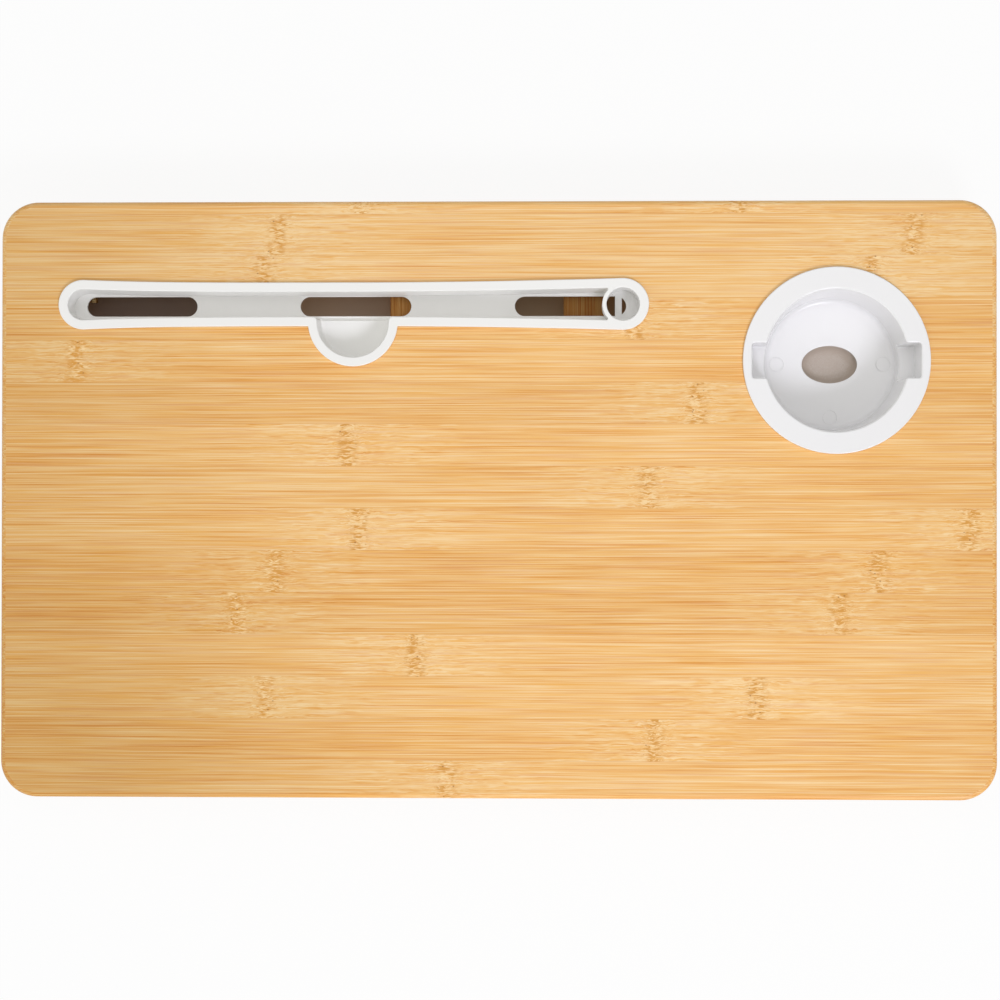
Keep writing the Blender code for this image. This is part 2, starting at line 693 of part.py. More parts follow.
def wood_screw(name, length):
    """Mesh of a pan-head wood screw along Z: its head's face at height 0 and its point at height length."""
    rim = SCREW_HEAD_HEIGHT / 2
    head = arc((SCREW_HEAD_RADIUS - rim, rim), rim, 0, -90, 2)
    profile = [
        (0, length),
        (SCREW_RADIUS, length - SCREW_POINT),
        (SCREW_RADIUS, SCREW_HEAD_HEIGHT),
        (SCREW_HEAD_RADIUS, SCREW_HEAD_HEIGHT),
    ]
    screw = make_object(name, turned(profile + head + [(0, 0)], SCREW_STEPS))
    recess_size = (SCREW_RECESS_LENGTH, SCREW_RECESS_WIDTH, 2 * SCREW_RECESS_DEPTH)
    crossing_size = (SCREW_RECESS_WIDTH, SCREW_RECESS_LENGTH, 2 * SCREW_RECESS_DEPTH)
    recess = make_object(f"{name}_recess", block(recess_size, (0, 0, 0)))
    fuse(recess, make_object(f"{name}_recess_crossing", block(crossing_size, (0, 0, 0))))
    cut(screw, recess)
    return finished_mesh(name, evaluated_bmesh(screw), ZINC_STEEL)


def apron_screws():
    """Screws that stand head down in the rails' counterbores and hold the board."""
    screw = wood_screw("apron_screw", apron_screw_tip - APRON_SCREW_SINK)
    for rail_name, places in apron_screw_places().items():
        for number, (x, y) in enumerate(places, 1):
            piece = bpy.data.objects.new(f"{rail_name}_screw_{number}", screw)
            piece.location = (x, y, APRON_SCREW_SINK)
            PARTS.objects.link(piece)


def pivot_bolt(name, x, side):
    """Button-head bolt with a hexagon socket, from the outside of a rail to just past its nut."""
    length = bolt_seat_y - bolt_tip_y
    dome = []
    for step in range(ARC_STEPS // 2 + 1):
        angle = math.pi / 2 * step / (ARC_STEPS // 2)
        dome.append((BOLT_HEAD_RADIUS * math.sin(angle), length + BOLT_HEAD_HEIGHT * math.cos(angle)))
    tip = [(BOLT_RADIUS, THREAD_CHAMFER), (BOLT_RADIUS - THREAD_CHAMFER, 0), (0, 0)]
    profile = dome + [(BOLT_RADIUS, length)] + tip
    bm = turned(profile)
    place = Matrix.Translation((x, side * bolt_tip_y, pivot_z)) @ facing(side)
    bm.transform(place)
    bolt = make_object(name, bm, ZINC_STEEL)
    key = bmesh.new()
    bmesh.ops.create_cone(
        key,
        cap_ends=True,
        segments=6,
        radius1=HEX_KEY_FLATS / math.sqrt(3),
        radius2=HEX_KEY_FLATS / math.sqrt(3),
        depth=2 * HEX_KEY_DEPTH,
        matrix=place @ Matrix.Translation((0, 0, length + BOLT_HEAD_HEIGHT)),
    )
    cut(bolt, make_object(f"{name}_socket", key))
    return bolt


def washer(name, x, side, inner_y, thickness, radius, material):
    """Flat ring round a pivot bolt."""
    bm = ring(bolt_hole_radius, radius, thickness)
    bm.transform(Matrix.Translation((x, side * inner_y, pivot_z)) @ facing(side))
    return make_object(name, bm, material)


def lock_nut(name, x, side):
    """Hexagon nut with a round collar, a flat of it upwards."""
    bm = bmesh.new()
    flat_up = Matrix.Rotation(math.pi / 6, 4, "Z")
    bmesh.ops.create_cone(
        bm,
        cap_ends=True,
        segments=6,
        radius1=NUT_FLATS / math.sqrt(3),
        radius2=NUT_FLATS / math.sqrt(3),
        depth=NUT_HEX_HEIGHT,
        matrix=Matrix.Translation((0, 0, NUT_HEIGHT - NUT_HEX_HEIGHT / 2)) @ flat_up,
    )
    place = Matrix.Translation((x, side * nut_inner_y, pivot_z)) @ facing(side)
    bm.transform(place)
    nut = make_object(name, bm, ZINC_STEEL)
    collar_root = NUT_HEIGHT - NUT_HEX_HEIGHT / 2
    collar_profile = [
        (0, collar_root),
        (NUT_COLLAR_RADIUS, collar_root),
        (NUT_COLLAR_RADIUS, THREAD_CHAMFER),
        (NUT_COLLAR_RADIUS - THREAD_CHAMFER, 0),
        (0, 0),
    ]
    collar = turned(collar_profile)
    collar.transform(place)
    fuse(nut, make_object(f"{name}_collar", collar))
    reach = nut_outer_y + OVERSHOOT - bolt_tip_y
    cut(nut, bolt_drills(f"{name}_bore", (x,), side * (bolt_tip_y + reach / 2), reach))
    return nut


def pivots():
    """Bolt, washers and lock nut at each of the four corners."""
    for end, x in (("left", -pivot_x), ("right", pivot_x)):
        for place, side in (("front", -1), ("rear", 1)):
            corner = f"{place}_{end}"
            pivot_bolt(f"pivot_bolt_{corner}", x, side)
            washer(f"spacer_washer_{corner}", x, side, spacer_inner_y, SPACER_THICKNESS, SPACER_RADIUS, NYLON)
            washer(
                f"inner_washer_{corner}", x, side, washer_inner_y, WASHER_THICKNESS, WASHER_RADIUS, ZINC_STEEL
            )
            lock_nut(f"lock_nut_{corner}", x, side)


def leg_axis(end, x):
    """Empty on a leg's fold axis, which the leg's pieces are placed from."""
    axis = bpy.data.objects.new(f"{end}_leg_axis", None)
    axis.location = (x, 0, pivot_z)
    PARTS.objects.link(axis)
    return axis


def attach(piece, axis):
    """Give a piece that was made in the leg's own frame its place on the fold axis."""
    piece.parent = axis


def post_outline(inward):
    """Outline of a post from its side: round about the pivot and cut level for the unfolded stance."""
    half = LEG_DEPTH / 2
    outline = arc((0, 0), half, 90, 270) + [(leg_length + foot_slant, -half), (leg_length - foot_slant, half)]
    if inward > 0:
        return outline
    return [(-x, z) for x, z in reversed(outline)]


def crossbar_screw_places(inward):
    """Where a crossbar's screws lie along the leg and in height, from the fold axis."""
    middle = inward * (leg_length - CROSSBAR_FROM_FOOT)
    return [(middle + step * CROSSBAR_SCREW_SPACING / 2, crossbar_z - pivot_z) for step in (-1, 1)]


def cross_drills(name, axis, places, radius, low, high):
    """Cutter of drills across the table, between two distances from its middle, in a leg's frame."""
    bm = bmesh.new()
    for x, z in places:
        bmesh.ops.create_cone(
            bm,
            cap_ends=True,
            segments=SCREW_STEPS,
            radius1=radius,
            radius2=radius,
            depth=abs(high - low),
            matrix=Matrix.Translation((x, (low + high) / 2, z)) @ Matrix.Rotation(math.pi / 2, 4, "X"),
        )
    cutter = make_object(name, bm)
    attach(cutter, axis)
    return cutter


def leg_post(name, axis, inward, side):
    """Bamboo post with its pivot hole and the counterbored holes for the crossbar's screws."""
    bm = plate(post_outline(inward), -LEG_WIDTH / 2, LEG_WIDTH / 2)
    bm.transform(Matrix.Translation((0, side * post_y, 0)) @ Matrix.Rotation(math.pi / 2, 4, "X"))
    post = make_object(name, bm, LEG_BAMBOO)
    soften(post, LEG_EDGE_ROUND)
    attach(post, axis)
    low = side * (post_inner_y - OVERSHOOT)
    high = side * (post_outer_y + OVERSHOOT)
    places = crossbar_screw_places(inward)
    seat = side * (post_outer_y - CROSSBAR_SCREW_SINK - SCREW_HEAD_HEIGHT - SEAT_GAP)
    cut(
        post,
        cross_drills(f"{name}_pivot_hole", axis, [(0, 0)], bolt_hole_radius, low, high),
        cross_drills(f"{name}_screw_holes", axis, places, screw_hole_radius, low, high),
        cross_drills(f"{name}_counterbores", axis, places, counterbore_radius, seat, high),
    )
    return post


def leg_crossbar(name, axis, inward):
    """Bamboo bar between the two posts, with pilot holes in its ends."""
    size = (CROSSBAR_WIDTH, 2 * crossbar_end_y, CROSSBAR_THICKNESS)
    centre = (inward * (leg_length - CROSSBAR_FROM_FOOT), 0, crossbar_z - pivot_z)
    crossbar = make_object(name, block(size, centre), LEG_BAMBOO)
    soften(crossbar, LEG_EDGE_ROUND)
    attach(crossbar, axis)
    places = crossbar_screw_places(inward)
    for place, side in (("front", -1), ("rear", 1)):
        low = side * (crossbar_end_y - CROSSBAR_SCREW_BITE - SEAT_GAP)
        high = side * (crossbar_end_y + OVERSHOOT)
        pilots = cross_drills(f"{name}_{place}_pilots", axis, places, screw_hole_radius, low, high)
        cut(crossbar, pilots)
    return crossbar


def leg_crossbar_screws(name, axis, inward):
    """Four screws that hold a crossbar between its posts."""
    head_y = post_outer_y - CROSSBAR_SCREW_SINK
    screw = wood_screw(name, head_y - crossbar_end_y + CROSSBAR_SCREW_BITE)
    for place, side in (("front", -1), ("rear", 1)):
        for number, (x, z) in enumerate(crossbar_screw_places(inward), 1):
            piece = bpy.data.objects.new(f"{name}_{place}_{number}", screw)
            piece.matrix_local = Matrix.Translation((x, side * head_y, z)) @ facing(-side)
            PARTS.objects.link(piece)
            attach(piece, axis)


def foot_pad(name, axis, inward, side):
    """Rubber pad on the slanted end of a post."""
    size = (
        FOOT_PAD_THICKNESS,
        LEG_WIDTH - 2 * FOOT_PAD_INSET,
        LEG_DEPTH / math.cos(LEG_SPLAY) - 2 * FOOT_PAD_INSET - 2 * LEG_EDGE_ROUND * math.tan(LEG_SPLAY),
    )
    lift = SEAT_GAP + FOOT_PAD_THICKNESS / 2
    bm = block(size, (inward * lift, 0, 0))
    turn = Matrix.Rotation(-inward * LEG_SPLAY, 4, "Y")
    bm.transform(Matrix.Translation((inward * leg_length, side * post_y, 0)) @ turn)
    pad = make_object(name, bm, RUBBER)
    attach(pad, axis)
    return pad


def legs():
    """Both folding legs, each on the empty of its fold axis."""
    for end, inward in (("left", 1), ("right", -1)):
        axis = leg_axis(end, -inward * pivot_x)
        for place, side in (("front", -1), ("rear", 1)):
            leg_post(f"{end}_leg_{place}_post", axis, inward, side)
            foot_pad(f"{end}_leg_{place}_foot_pad", axis, inward, side)
        leg_crossbar(f"{end}_leg_crossbar", axis, inward)
        leg_crossbar_screws(f"{end}_leg_crossbar_screw", axis, inward)


tabletop()
tablet_slot_insert()
cup_holder_insert()
apron()
apron_screws()
pivots()
legs()
bpy.context.view_layer.update()
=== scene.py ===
"""Looks of the foldaway laptop table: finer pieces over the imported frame, with materials, light and camera.

X runs along the table, Y towards its rear edge and Z up, in metres. The table lies folded on the ground.
Wood and plastic are built in place: their own coordinates, which the grain follows, are those at rest.
"""
import math
from functools import partial
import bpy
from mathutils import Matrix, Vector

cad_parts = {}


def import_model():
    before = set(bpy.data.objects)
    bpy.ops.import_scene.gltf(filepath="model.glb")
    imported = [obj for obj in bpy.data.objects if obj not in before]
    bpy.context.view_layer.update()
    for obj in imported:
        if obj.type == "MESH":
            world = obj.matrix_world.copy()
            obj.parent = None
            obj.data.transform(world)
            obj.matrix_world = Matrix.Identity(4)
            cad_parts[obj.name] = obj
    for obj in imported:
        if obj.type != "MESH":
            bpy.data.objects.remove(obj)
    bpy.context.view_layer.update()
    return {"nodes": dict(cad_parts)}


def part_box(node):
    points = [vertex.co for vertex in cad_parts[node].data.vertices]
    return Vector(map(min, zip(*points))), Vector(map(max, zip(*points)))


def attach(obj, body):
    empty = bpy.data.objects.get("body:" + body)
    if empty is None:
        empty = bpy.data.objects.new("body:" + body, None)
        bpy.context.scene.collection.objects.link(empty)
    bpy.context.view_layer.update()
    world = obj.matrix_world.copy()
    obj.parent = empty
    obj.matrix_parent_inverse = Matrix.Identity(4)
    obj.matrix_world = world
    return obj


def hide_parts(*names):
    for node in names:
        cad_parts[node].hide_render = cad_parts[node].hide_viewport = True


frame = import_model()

from types import SimpleNamespace

import bmesh
import bpy
from mathutils import Matrix, Vector

MM = 0.001

# Board
BOARD_CORNER = 18.5 * MM
BOARD_EDGE = 2.5 * MM
WOOD_EDGE = 1.5 * MM

# Both plastic inserts
WALL = 1.8 * MM
CUTOUT_GAP = 0.4 * MM
FLANGE = 1.5 * MM
FLANGE_EDGE = 0.5 * MM
SHELL_FOOT = 0.8 * MM
LUG_WIDTH = 8 * MM
LUG_HEIGHT = 3 * MM
LUG_CATCH = 0.8 * MM
LUG_ROOT = 0.5 * MM
LUG_STATIONS = (-0.8, -0.45, 0.45, 0.8)

# Tablet slot
SLOT_FLANGE_OFFSET = 4.7 * MM
SLOT_END = 7.8 * MM
SLOT_WAIST = 6.3 * MM
SLOT_LIP = 0.45 * MM
SLOT_REAR_DRAFT = 0.7 * MM
SLOT_FRONT_DRAFT = 0.2 * MM
PEN_RADIUS = 8.3 * MM
PEN_WALL = 2.1 * MM
PEN_CORNER = 0.7 * MM
PEN_BAR = 3.4 * MM
PEN_BAR_SHIFT = 2 * MM
SCOOP_RADIUS = 18.1 * MM
SCOOP_SETBACK = 2.3 * MM
SCOOP_FLANGE_OFFSET = 4.5 * MM
SCOOP_STEP = 2 * MM
SCOOP_DRAFT = 0.6 * MM
SCOOP_CORNER = 2 * MM
SCOOP_FOOT = 1.2 * MM
SCOOP_EDGE = 0.3 * MM
SCOOP_LEDGE = 0.8 * MM
HOLE_LENGTH = 56.5 * MM
HOLE_MARGIN = 6.35 * MM
HOLE_REAR_LEDGE = 0.2 * MM
HOLE_FRONT_LEDGE = 1.5 * MM
HOLE_LIP = 0.2 * MM

# Cup holder
CUP_RIM = 36.3 * MM
CUP_TAPER = 2.6 * MM
CUP_MOUTH = 35.7 * MM
CUP_FLOOR = 33.7 * MM
CUP_FILLET = 3 * MM
CUP_LIP = 0.9 * MM
NOTCH_REACH = 42.1 * MM
NOTCH_HALF = 8.75 * MM
NOTCH_WALL = 2.1 * MM
NOTCH_RISE = 10 * MM
NOTCH_CORNER = 1.3 * MM
NOTCH_BLEND = 1.5 * MM
NOTCH_BLEND_LEAST = 0.02 * MM
NOTCH_RIM = 0.8 * MM
DRAIN_HALF_LENGTH = 14.2 * MM
DRAIN_HALF_WIDTH = 9.6 * MM
EJECTOR_RADIUS = 3.8 * MM
EJECTOR_REACH = 27.3 * MM
EJECTOR_GROOVE = 0.4 * MM

# Fasteners
THREAD_PITCH = 0.8 * MM
THREAD_DEPTH = 0.42 * MM
THREAD_SHAPE = (0.0, 0.15, 1.0, 0.85)  # share of the depth along one pitch
THREAD_INSET = 0.04 * MM
THREAD_RUN_IN = 0.5 * MM
BOLT_RADIUS = 2.5 * MM
BOLT_SHOULDER = 16 * MM
BOLT_DOME = 62
SOCKET_FLATS = 3 * MM
SOCKET_DEPTH = 1.5 * MM
HOLE_GAP = 0.3 * MM
HEAD_SEAT_GAP = 0.5 * MM
SCREW_RADIUS = 2 * MM
SCREW_POINT = 4 * MM
SCREW_HEAD = 2.8 * MM
SCREW_DOME = 1.5 * MM
SCREW_DOME_TURN = 82
SCREW_FACE = 0.45  # share of the head's radius
SCREW_NECK = 0.25 * MM
SCREW_FILLET = 0.3 * MM
RECESS_MOUTH = (4.3 * MM, 1.1 * MM, -0.2 * MM)
RECESS_FOOT = (1.6 * MM, 0.8 * MM, 1.6 * MM)
NUT_FLATS = 8 * MM
NUT_COLLAR = 3.4 * MM
NUT_HEX = 3.6 * MM
NUT_CHAMFER = 0.55 * MM
NUT_FACE_INSET = 0.1 * MM
NUT_CONE_RUN = 0.2 * MM
NUT_ROUND = 0.6 * MM
WASHER_RIM = 0.15 * MM
SHAFT_HOLE = SCREW_RADIUS + HOLE_GAP
BOLT_HOLE = BOLT_RADIUS + HOLE_GAP

# Legs: the splay of an open one, the distance from its pivot to its sole, and its foot pads
SPLAY = math.radians(8)
LEG_REACH = 204.4 * MM
PAD_THICKNESS = 2 * MM
PAD_EDGE = 0.4 * MM
PAD_GROOVE = 1.2 * MM
PAD_GROOVE_PITCH = 5 * MM

# Light: shares of the level at which a colour shows as it is written. A lamp's share comes before its size,
# place and colour
WORLD_LIGHT = 0.6
WORLD_LEAN = (0.35, 0.35)
WORLD_COLOUR = (1.0, 1.0, 0.95)
WORLD_BELOW = 0.5
LAMPS = (
    ("key", 0.25, 0.9, (0.9, -1.64, 2.28), (0.9, 0.9, 1.0)),
    ("overhead", 0.075, 0.9, (0.1, 0.4, 1.8), (1, 1, 1)),
)

# Floor: painted shade on the paper under the table, in colours that stand for the shade there and the light
# the bamboo throws into it, and where along X each fades into the next, in millimetres
PAINTED_SHADE_PAPER = ((0.25, 0.21, 0.195, 1), (0.49, 0.4, 0.33, 1), (0.41, 0.33, 0.245, 1), (0.57, 0.47, 0.4, 1))
PAINTED_SHADE_FADES = ((-130, -100), (-20, 20), (60, 120))
OPEN_PAPER = (0.9, 0.9, 0.9, 1)
SHELTER_REACH = 0.15
FLOOR_HALF = 4
FLOOR_DROP = 0.2 * MM
HORIZON = (700, 2200)

# Camera, as measured from the board's edges in the photograph
CAMERA_LENS = 86.33
CAMERA_PLACE = (35.5 * MM, -10.3 * MM, 1241.8 * MM)
CAMERA_TILT = (0.481, 1.604, 0.059)

# How shapes are made: how far cutters run past a face, how near points are welded, and how finely arcs run
OVERSHOOT = 2 * MM
WELD = 0.002 * MM
LIP_TURN = 82
LIP_OVERRUN = 0.04 * MM
SHARP_ANGLE = 32
EDGE_STEPS = 5
ARC_STEPS = 24
ROUND_STEPS = 40
CUP_STEPS = 96


# ---- Shapes


def arc(centre, radius, start, end, steps=ARC_STEPS):
    """Points on an arc from one angle to another, in degrees, with both ends."""
    points = []
    for index in range(steps + 1):
        angle = math.radians(start + (end - start) * index / steps)
        points.append((centre[0] + radius * math.cos(angle), centre[1] + radius * math.sin(angle)))
    return points


def circle(x, y, radius, width=None):
    """Outline of a circle, or of an oval if it has another radius across."""
    radius_y = radius if width is None else width
    return [(x + part * radius, y + other * radius_y) for part, other in arc((0, 0), 1, 0, 360, 64)[:-1]]


def between(start, end, steps):
    """Evenly spaced numbers from one to another, with both ends."""
    return [start + (end - start) * index / steps for index in range(steps + 1)]


def rounding(radius, steps=EDGE_STEPS, turn=90):
    """Steps round a convex edge as (distance below its top, distance in from its side), upwards."""
    angles = [math.radians(turn) * index / steps for index in range(steps + 1)]
    return [(radius * (1 - math.sin(angle)), radius * (1 - math.cos(angle))) for angle in angles]


def loft(levels):
    """Bmesh of a closed solid through level outlines, given as (height, points) from the lowest up."""
    bm = bmesh.new()
    rings = [[bm.verts.new((x, y, height)) for x, y in points] for height, points in levels]
    for low, high in zip(rings, rings[1:]):
        for index in range(len(low)):
            after = (index + 1) % len(low)
            bm.faces.new((low[index], low[after], high[after], high[index]))
    bm.faces.new(list(reversed(rings[0])))
    bm.faces.new(rings[-1])
    bmesh.ops.remove_doubles(bm, verts=bm.verts[:], dist=WELD)
    return bm


def lip(radius, top, steps=EDGE_STEPS):
    """Steps of a hole's rounded rim as (height, growth), running on a little past the top face."""
    levels = [(top - drop, growth) for drop, growth in rounding(radius, steps, LIP_TURN)]
    (z0, g0), (z1, g1) = levels[-2:]
    return levels + [(z1 + LIP_OVERRUN, g1 + LIP_OVERRUN * (g1 - g0) / (z1 - z0))]


def edge(radius, low, high, below=0.0):
    """Steps of a solid's rounded edges as (height, inset), from its lowest level to its highest."""
    levels = [(low + rise, inset) for inset, rise in rounding(below)] if below else [(low, 0.0)]
    return levels + [(high - drop, inset) for drop, inset in rounding(radius)]


def turned(profile, steps=ROUND_STEPS):
    """Bmesh turned about Z from (radius, height) points; a profile that ends where it starts makes a ring."""
    bm = bmesh.new()
    closed = profile[0] == profile[-1]
    rings = []
    for radius, height in profile[:-1] if closed else profile:
        if radius == 0:
            rings.append([bm.verts.new((0, 0, height))])
        else:
            rings.append([bm.verts.new((x, y, height)) for x, y in arc((0, 0), radius, 0, 360, steps)[:-1]])
    if closed:
        rings.append(rings[0])
    for first, second in zip(rings, rings[1:]):
        for index in range(steps):
            corners = []
            for ring, turn in ((first, index), (first, index + 1), (second, index + 1), (second, index)):
                vert = ring[turn % len(ring)]
                if vert not in corners:
                    corners.append(vert)
            if len(corners) > 2:
                bm.faces.new(corners)
    bmesh.ops.recalc_face_normals(bm, faces=bm.faces[:])
    return bm


def threaded(radius, depth, low, high):
    """Bmesh of a right-hand threaded rod along Z, cut square at both ends."""
    bm = bmesh.new()
    steps = ARC_STEPS
    rows = int((high - low) / THREAD_PITCH + 3) * len(THREAD_SHAPE)
    rings = []
    for row in range(rows):
        ring = []
        for index in range(steps + 1):
            inner = radius - depth * THREAD_SHAPE[row % len(THREAD_SHAPE)]
            angle = math.tau * index / steps
            height = low + (row / len(THREAD_SHAPE) - 2 + index / steps) * THREAD_PITCH
            ring.append(bm.verts.new((inner * math.cos(angle), inner * math.sin(angle), height)))
        rings.append(ring)
    for first, second in zip(rings, rings[1:]):
        for index in range(steps):
            bm.faces.new((first[index], first[index + 1], second[index + 1], second[index]))
    bmesh.ops.remove_doubles(bm, verts=bm.verts[:], dist=WELD)
    for height, side in ((low, -1), (high, 1)):
        cut = bm.verts[:] + bm.edges[:] + bm.faces[:]
        bmesh.ops.bisect_plane(bm, geom=cut, plane_co=(0, 0, height), plane_no=(0, 0, side), clear_outer=True)
        bmesh.ops.holes_fill(bm, edges=[item for item in bm.edges if item.is_boundary])
    bmesh.ops.recalc_face_normals(bm, faces=bm.faces[:])
    return bm


def rounded(bm, edges, radius, segments=3):
    """The bmesh with some of its edges rounded."""
    bmesh.ops.bevel(bm, geom=edges, offset=radius, segments=segments, affect="EDGES", profile=0.5)
    return bm


def slab(low, high, radius=0.0):
    """Bmesh of a box between two corners with all its edges rounded."""
    bm = bmesh.new()
    place = Matrix.Translation((low + high) / 2) @ Matrix.Diagonal((*(high - low), 1))
    bmesh.ops.create_cube(bm, size=1, matrix=place)
    return rounded(bm, bm.edges[:], radius) if radius else bm


def rod(place, radius, length, steps=ROUND_STEPS):
    """Bmesh of a cylinder along Z, centred on a place given as a matrix."""
    bm = bmesh.new()
    bmesh.ops.create_cone(
        bm, cap_ends=True, segments=steps, radius1=radius, radius2=radius, depth=length, matrix=place
    )
    return bm


def moved(bm, matrix):
    """The bmesh, moved."""
    bm.transform(matrix)
    if matrix.determinant() < 0:
        bmesh.ops.reverse_faces(bm, faces=bm.faces[:])
    return bm


def new_object(name, data):
    """Object of some data, in the scene."""
    piece = bpy.data.objects.new(name, data)
    bpy.context.scene.collection.objects.link(piece)
    return piece


def make(name, bm):
    """Object of a bmesh, in place."""
    bmesh.ops.recalc_face_normals(bm, faces=bm.faces[:])
    mesh = bpy.data.meshes.new(name)
    bm.to_mesh(mesh)
    bm.free()
    return new_object(name, mesh)


def carve(piece, removed=(), joined=(), bounds=()):
    """Keep what of a piece lies within solids, fuse others with it, then cut others out of it, for good."""
    tools = []
    for kind, solids in (("INTERSECT", bounds), ("UNION", joined), ("DIFFERENCE", removed)):
        for bm in solids:
            tools.append(make("tool", bm))
            boolean = piece.modifiers.new("tool", "BOOLEAN")
            boolean.operation, boolean.solver, boolean.object = kind, "EXACT", tools[-1]
    bpy.context.view_layer.update()
    evaluated = piece.evaluated_get(bpy.context.evaluated_depsgraph_get())
    mesh = bpy.data.meshes.new_from_object(evaluated)
    piece.modifiers.clear()
    piece.data = mesh
    mesh.name = piece.name
    for tool in tools:
        bpy.data.objects.remove(tool, do_unlink=True)
    return piece


def dress(piece, material, body, node):
    """Give a piece its material, smooth shading with even normals and its body, and hide the CAD node that it
    stands for.
    """
    mesh = piece.data
    if not mesh.materials:
        mesh.materials.append(material)
        mesh.shade_smooth()
        mesh.set_sharp_from_angle(angle=math.radians(SHARP_ANGLE))
    weighted = piece.modifiers.new("even_shading", "WEIGHTED_NORMAL")
    weighted.keep_sharp = True
    weighted.weight = 80
    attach(piece, body)
    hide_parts(node)


# ---- Node trees


def operation(name):
    """Method that adds a Math node."""
    return lambda self, *others: self.math(name, *others)


class Signal:
    """A number on its way through a node tree. Arithmetic with it adds Math nodes."""

    def __init__(self, tree, socket):
        self.tree = tree
        self.socket = socket

    def math(self, name, *others):
        node = self.tree.node("ShaderNodeMath", operation=name)
        for index, value in enumerate((self, *others)):
            self.tree.put(node.inputs[index], value)
        return Signal(self.tree, node.outputs[0])

    __add__ = __radd__ = operation("ADD")
    __mul__ = __rmul__ = operation("MULTIPLY")
    __sub__ = operation("SUBTRACT")
    __truediv__ = operation("DIVIDE")
    floor = operation("FLOOR")
    size = operation("ABSOLUTE")
    least = operation("MINIMUM")
    most = operation("MAXIMUM")

    def __rsub__(self, other):
        return (self * -1) + other

    def fade(self, start, end):
        """0 at start and 1 at end, smooth between; start may be the larger."""
        node = self.tree.node("ShaderNodeMapRange", interpolation_type="SMOOTHSTEP")
        low, high = sorted((start, end))
        self.tree.fill(node, Value=self, From_Min=low, From_Max=high)
        if start > end:
            self.tree.fill(node, To_Min=1, To_Max=0)
        return Signal(self.tree, node.outputs[0])


class Tree:
    """A node tree that is filled one call at a time."""

    def __init__(self, owner):
        owner.use_nodes = True
        self.nodes = owner.node_tree.nodes
        self.links = owner.node_tree.links

    def node(self, kind, **settings):
        node = self.nodes.new(kind)
        for key, value in settings.items():
            setattr(node, key, value)
        return node

    def put(self, socket, value):
        """Set a socket to a value, or link it to where the value comes from."""
        if isinstance(value, Signal):
            value = value.socket
        if isinstance(value, bpy.types.NodeSocket):
            self.links.new(value, socket)
        else:
            socket.default_value = value

    def fill(self, node, **values):
        """Set a node's inputs, named with _ for a space."""
        for key, value in values.items():
            self.put(node.inputs[key.replace("_", " ")], value)
        return node

    def split(self, socket):
        node = self.node("ShaderNodeSeparateXYZ")
        self.put(node.inputs[0], socket)
        return [Signal(self, output) for output in node.outputs]

    def vector(self, *parts):
        node = self.node("ShaderNodeCombineXYZ")
        for socket, part in zip(node.inputs, parts):
            self.put(socket, part)
        return node.outputs[0]

    def noise(self, *parts, detail=2.0, roughness=0.5, distortion=0.0):
        """Noise at a point given by its three parts, about 0.5 on average."""
        node = self.node("ShaderNodeTexNoise")
        self.fill(node, Vector=self.vector(*parts), Scale=1.0)
        self.fill(node, Detail=detail, Roughness=roughness, Distortion=distortion)
        return Signal(self, node.outputs["Fac"])

    def chance(self, *parts):
        """Three numbers from 0 to 1 that change abruptly with the point's whole parts."""
        node = self.node("ShaderNodeTexWhiteNoise")
        self.put(node.inputs["Vector"], self.vector(*parts))
        return self.split(node.outputs["Color"])

    def ramp(self, value, stops, kind="LINEAR"):
        """Colour of a value by a ramp's stops, given as (position, colour)."""
        node = self.node("ShaderNodeValToRGB")
        node.color_ramp.interpolation = kind
        elements = node.color_ramp.elements
        for index, (position, colour) in enumerate(stops):
            stop = elements[index] if index < 2 else elements.new(position)
            stop.position, stop.color = position, colour
        self.put(node.inputs[0], value)
        return node.outputs[0]

    def mix(self, share, first, second, blend="MIX"):
        """Colour between two colours, or of another blend of them."""
        node = self.node("ShaderNodeMix", data_type="RGBA", blend_type=blend)
        for socket, value in ((node.inputs[0], share), (node.inputs[6], first), (node.inputs[7], second)):
            self.put(socket, value)
        return node.outputs[2]


def shown(red, green, blue):
    """Linear colour of display values from 0 to 255."""
    parts = []
    for value in (red, green, blue):
        share = value / 255
        parts.append(share / 12.92 if share <= 0.04045 else ((share + 0.055) / 1.055) ** 2.4)
    return (*parts, 1.0)


def tinted(colour, *shares):
    """Linear colour of display values, each times its share."""
    return shown(*(part * share for part, share in zip(colour, shares)))


def new_material(name, roughness, metallic=0.0):
    """Material with its tree and shader."""
    material = bpy.data.materials.new(name)
    tree = Tree(material)
    shader = tree.nodes["Principled BSDF"]
    tree.fill(shader, Roughness=roughness, Metallic=metallic)
    return material, tree, shader


def coordinates(tree, kind="Object"):
    """Three parts of a point's own coordinates, or of another kind: its normal or the light's way."""
    return tree.split(tree.node("ShaderNodeTexCoord").outputs[kind])


def rest_millimetres(tree):
    """A point's place in the rest pose, in millimetres."""
    return [part * 1000 for part in coordinates(tree)]


def add_bump(tree, shader, height, depth):
    """Let a height, in shares of a depth in metres, dent the surface."""
    bump = tree.node("ShaderNodeBump")
    tree.fill(bump, Height=height, Distance=depth, Strength=1.0)
    tree.put(shader.inputs["Normal"], bump.outputs["Normal"])


# Bamboo's colours from dark to pale, as display values, and the levels that show them
BOARD_COLOURS = ((222, 145, 54), (239, 177, 95), (245, 194, 121), (252, 216, 160))
APRON_COLOURS = ((214, 142, 57), (232, 173, 96), (240, 189, 121), (247, 210, 156))
# The legs' bamboo is darker than the board's, and darker still by painted shade, as the legs lie in shade
# under the board
LEG_COLOURS = ((143, 85, 32), (170, 113, 54), (185, 132, 71), (202, 163, 106))
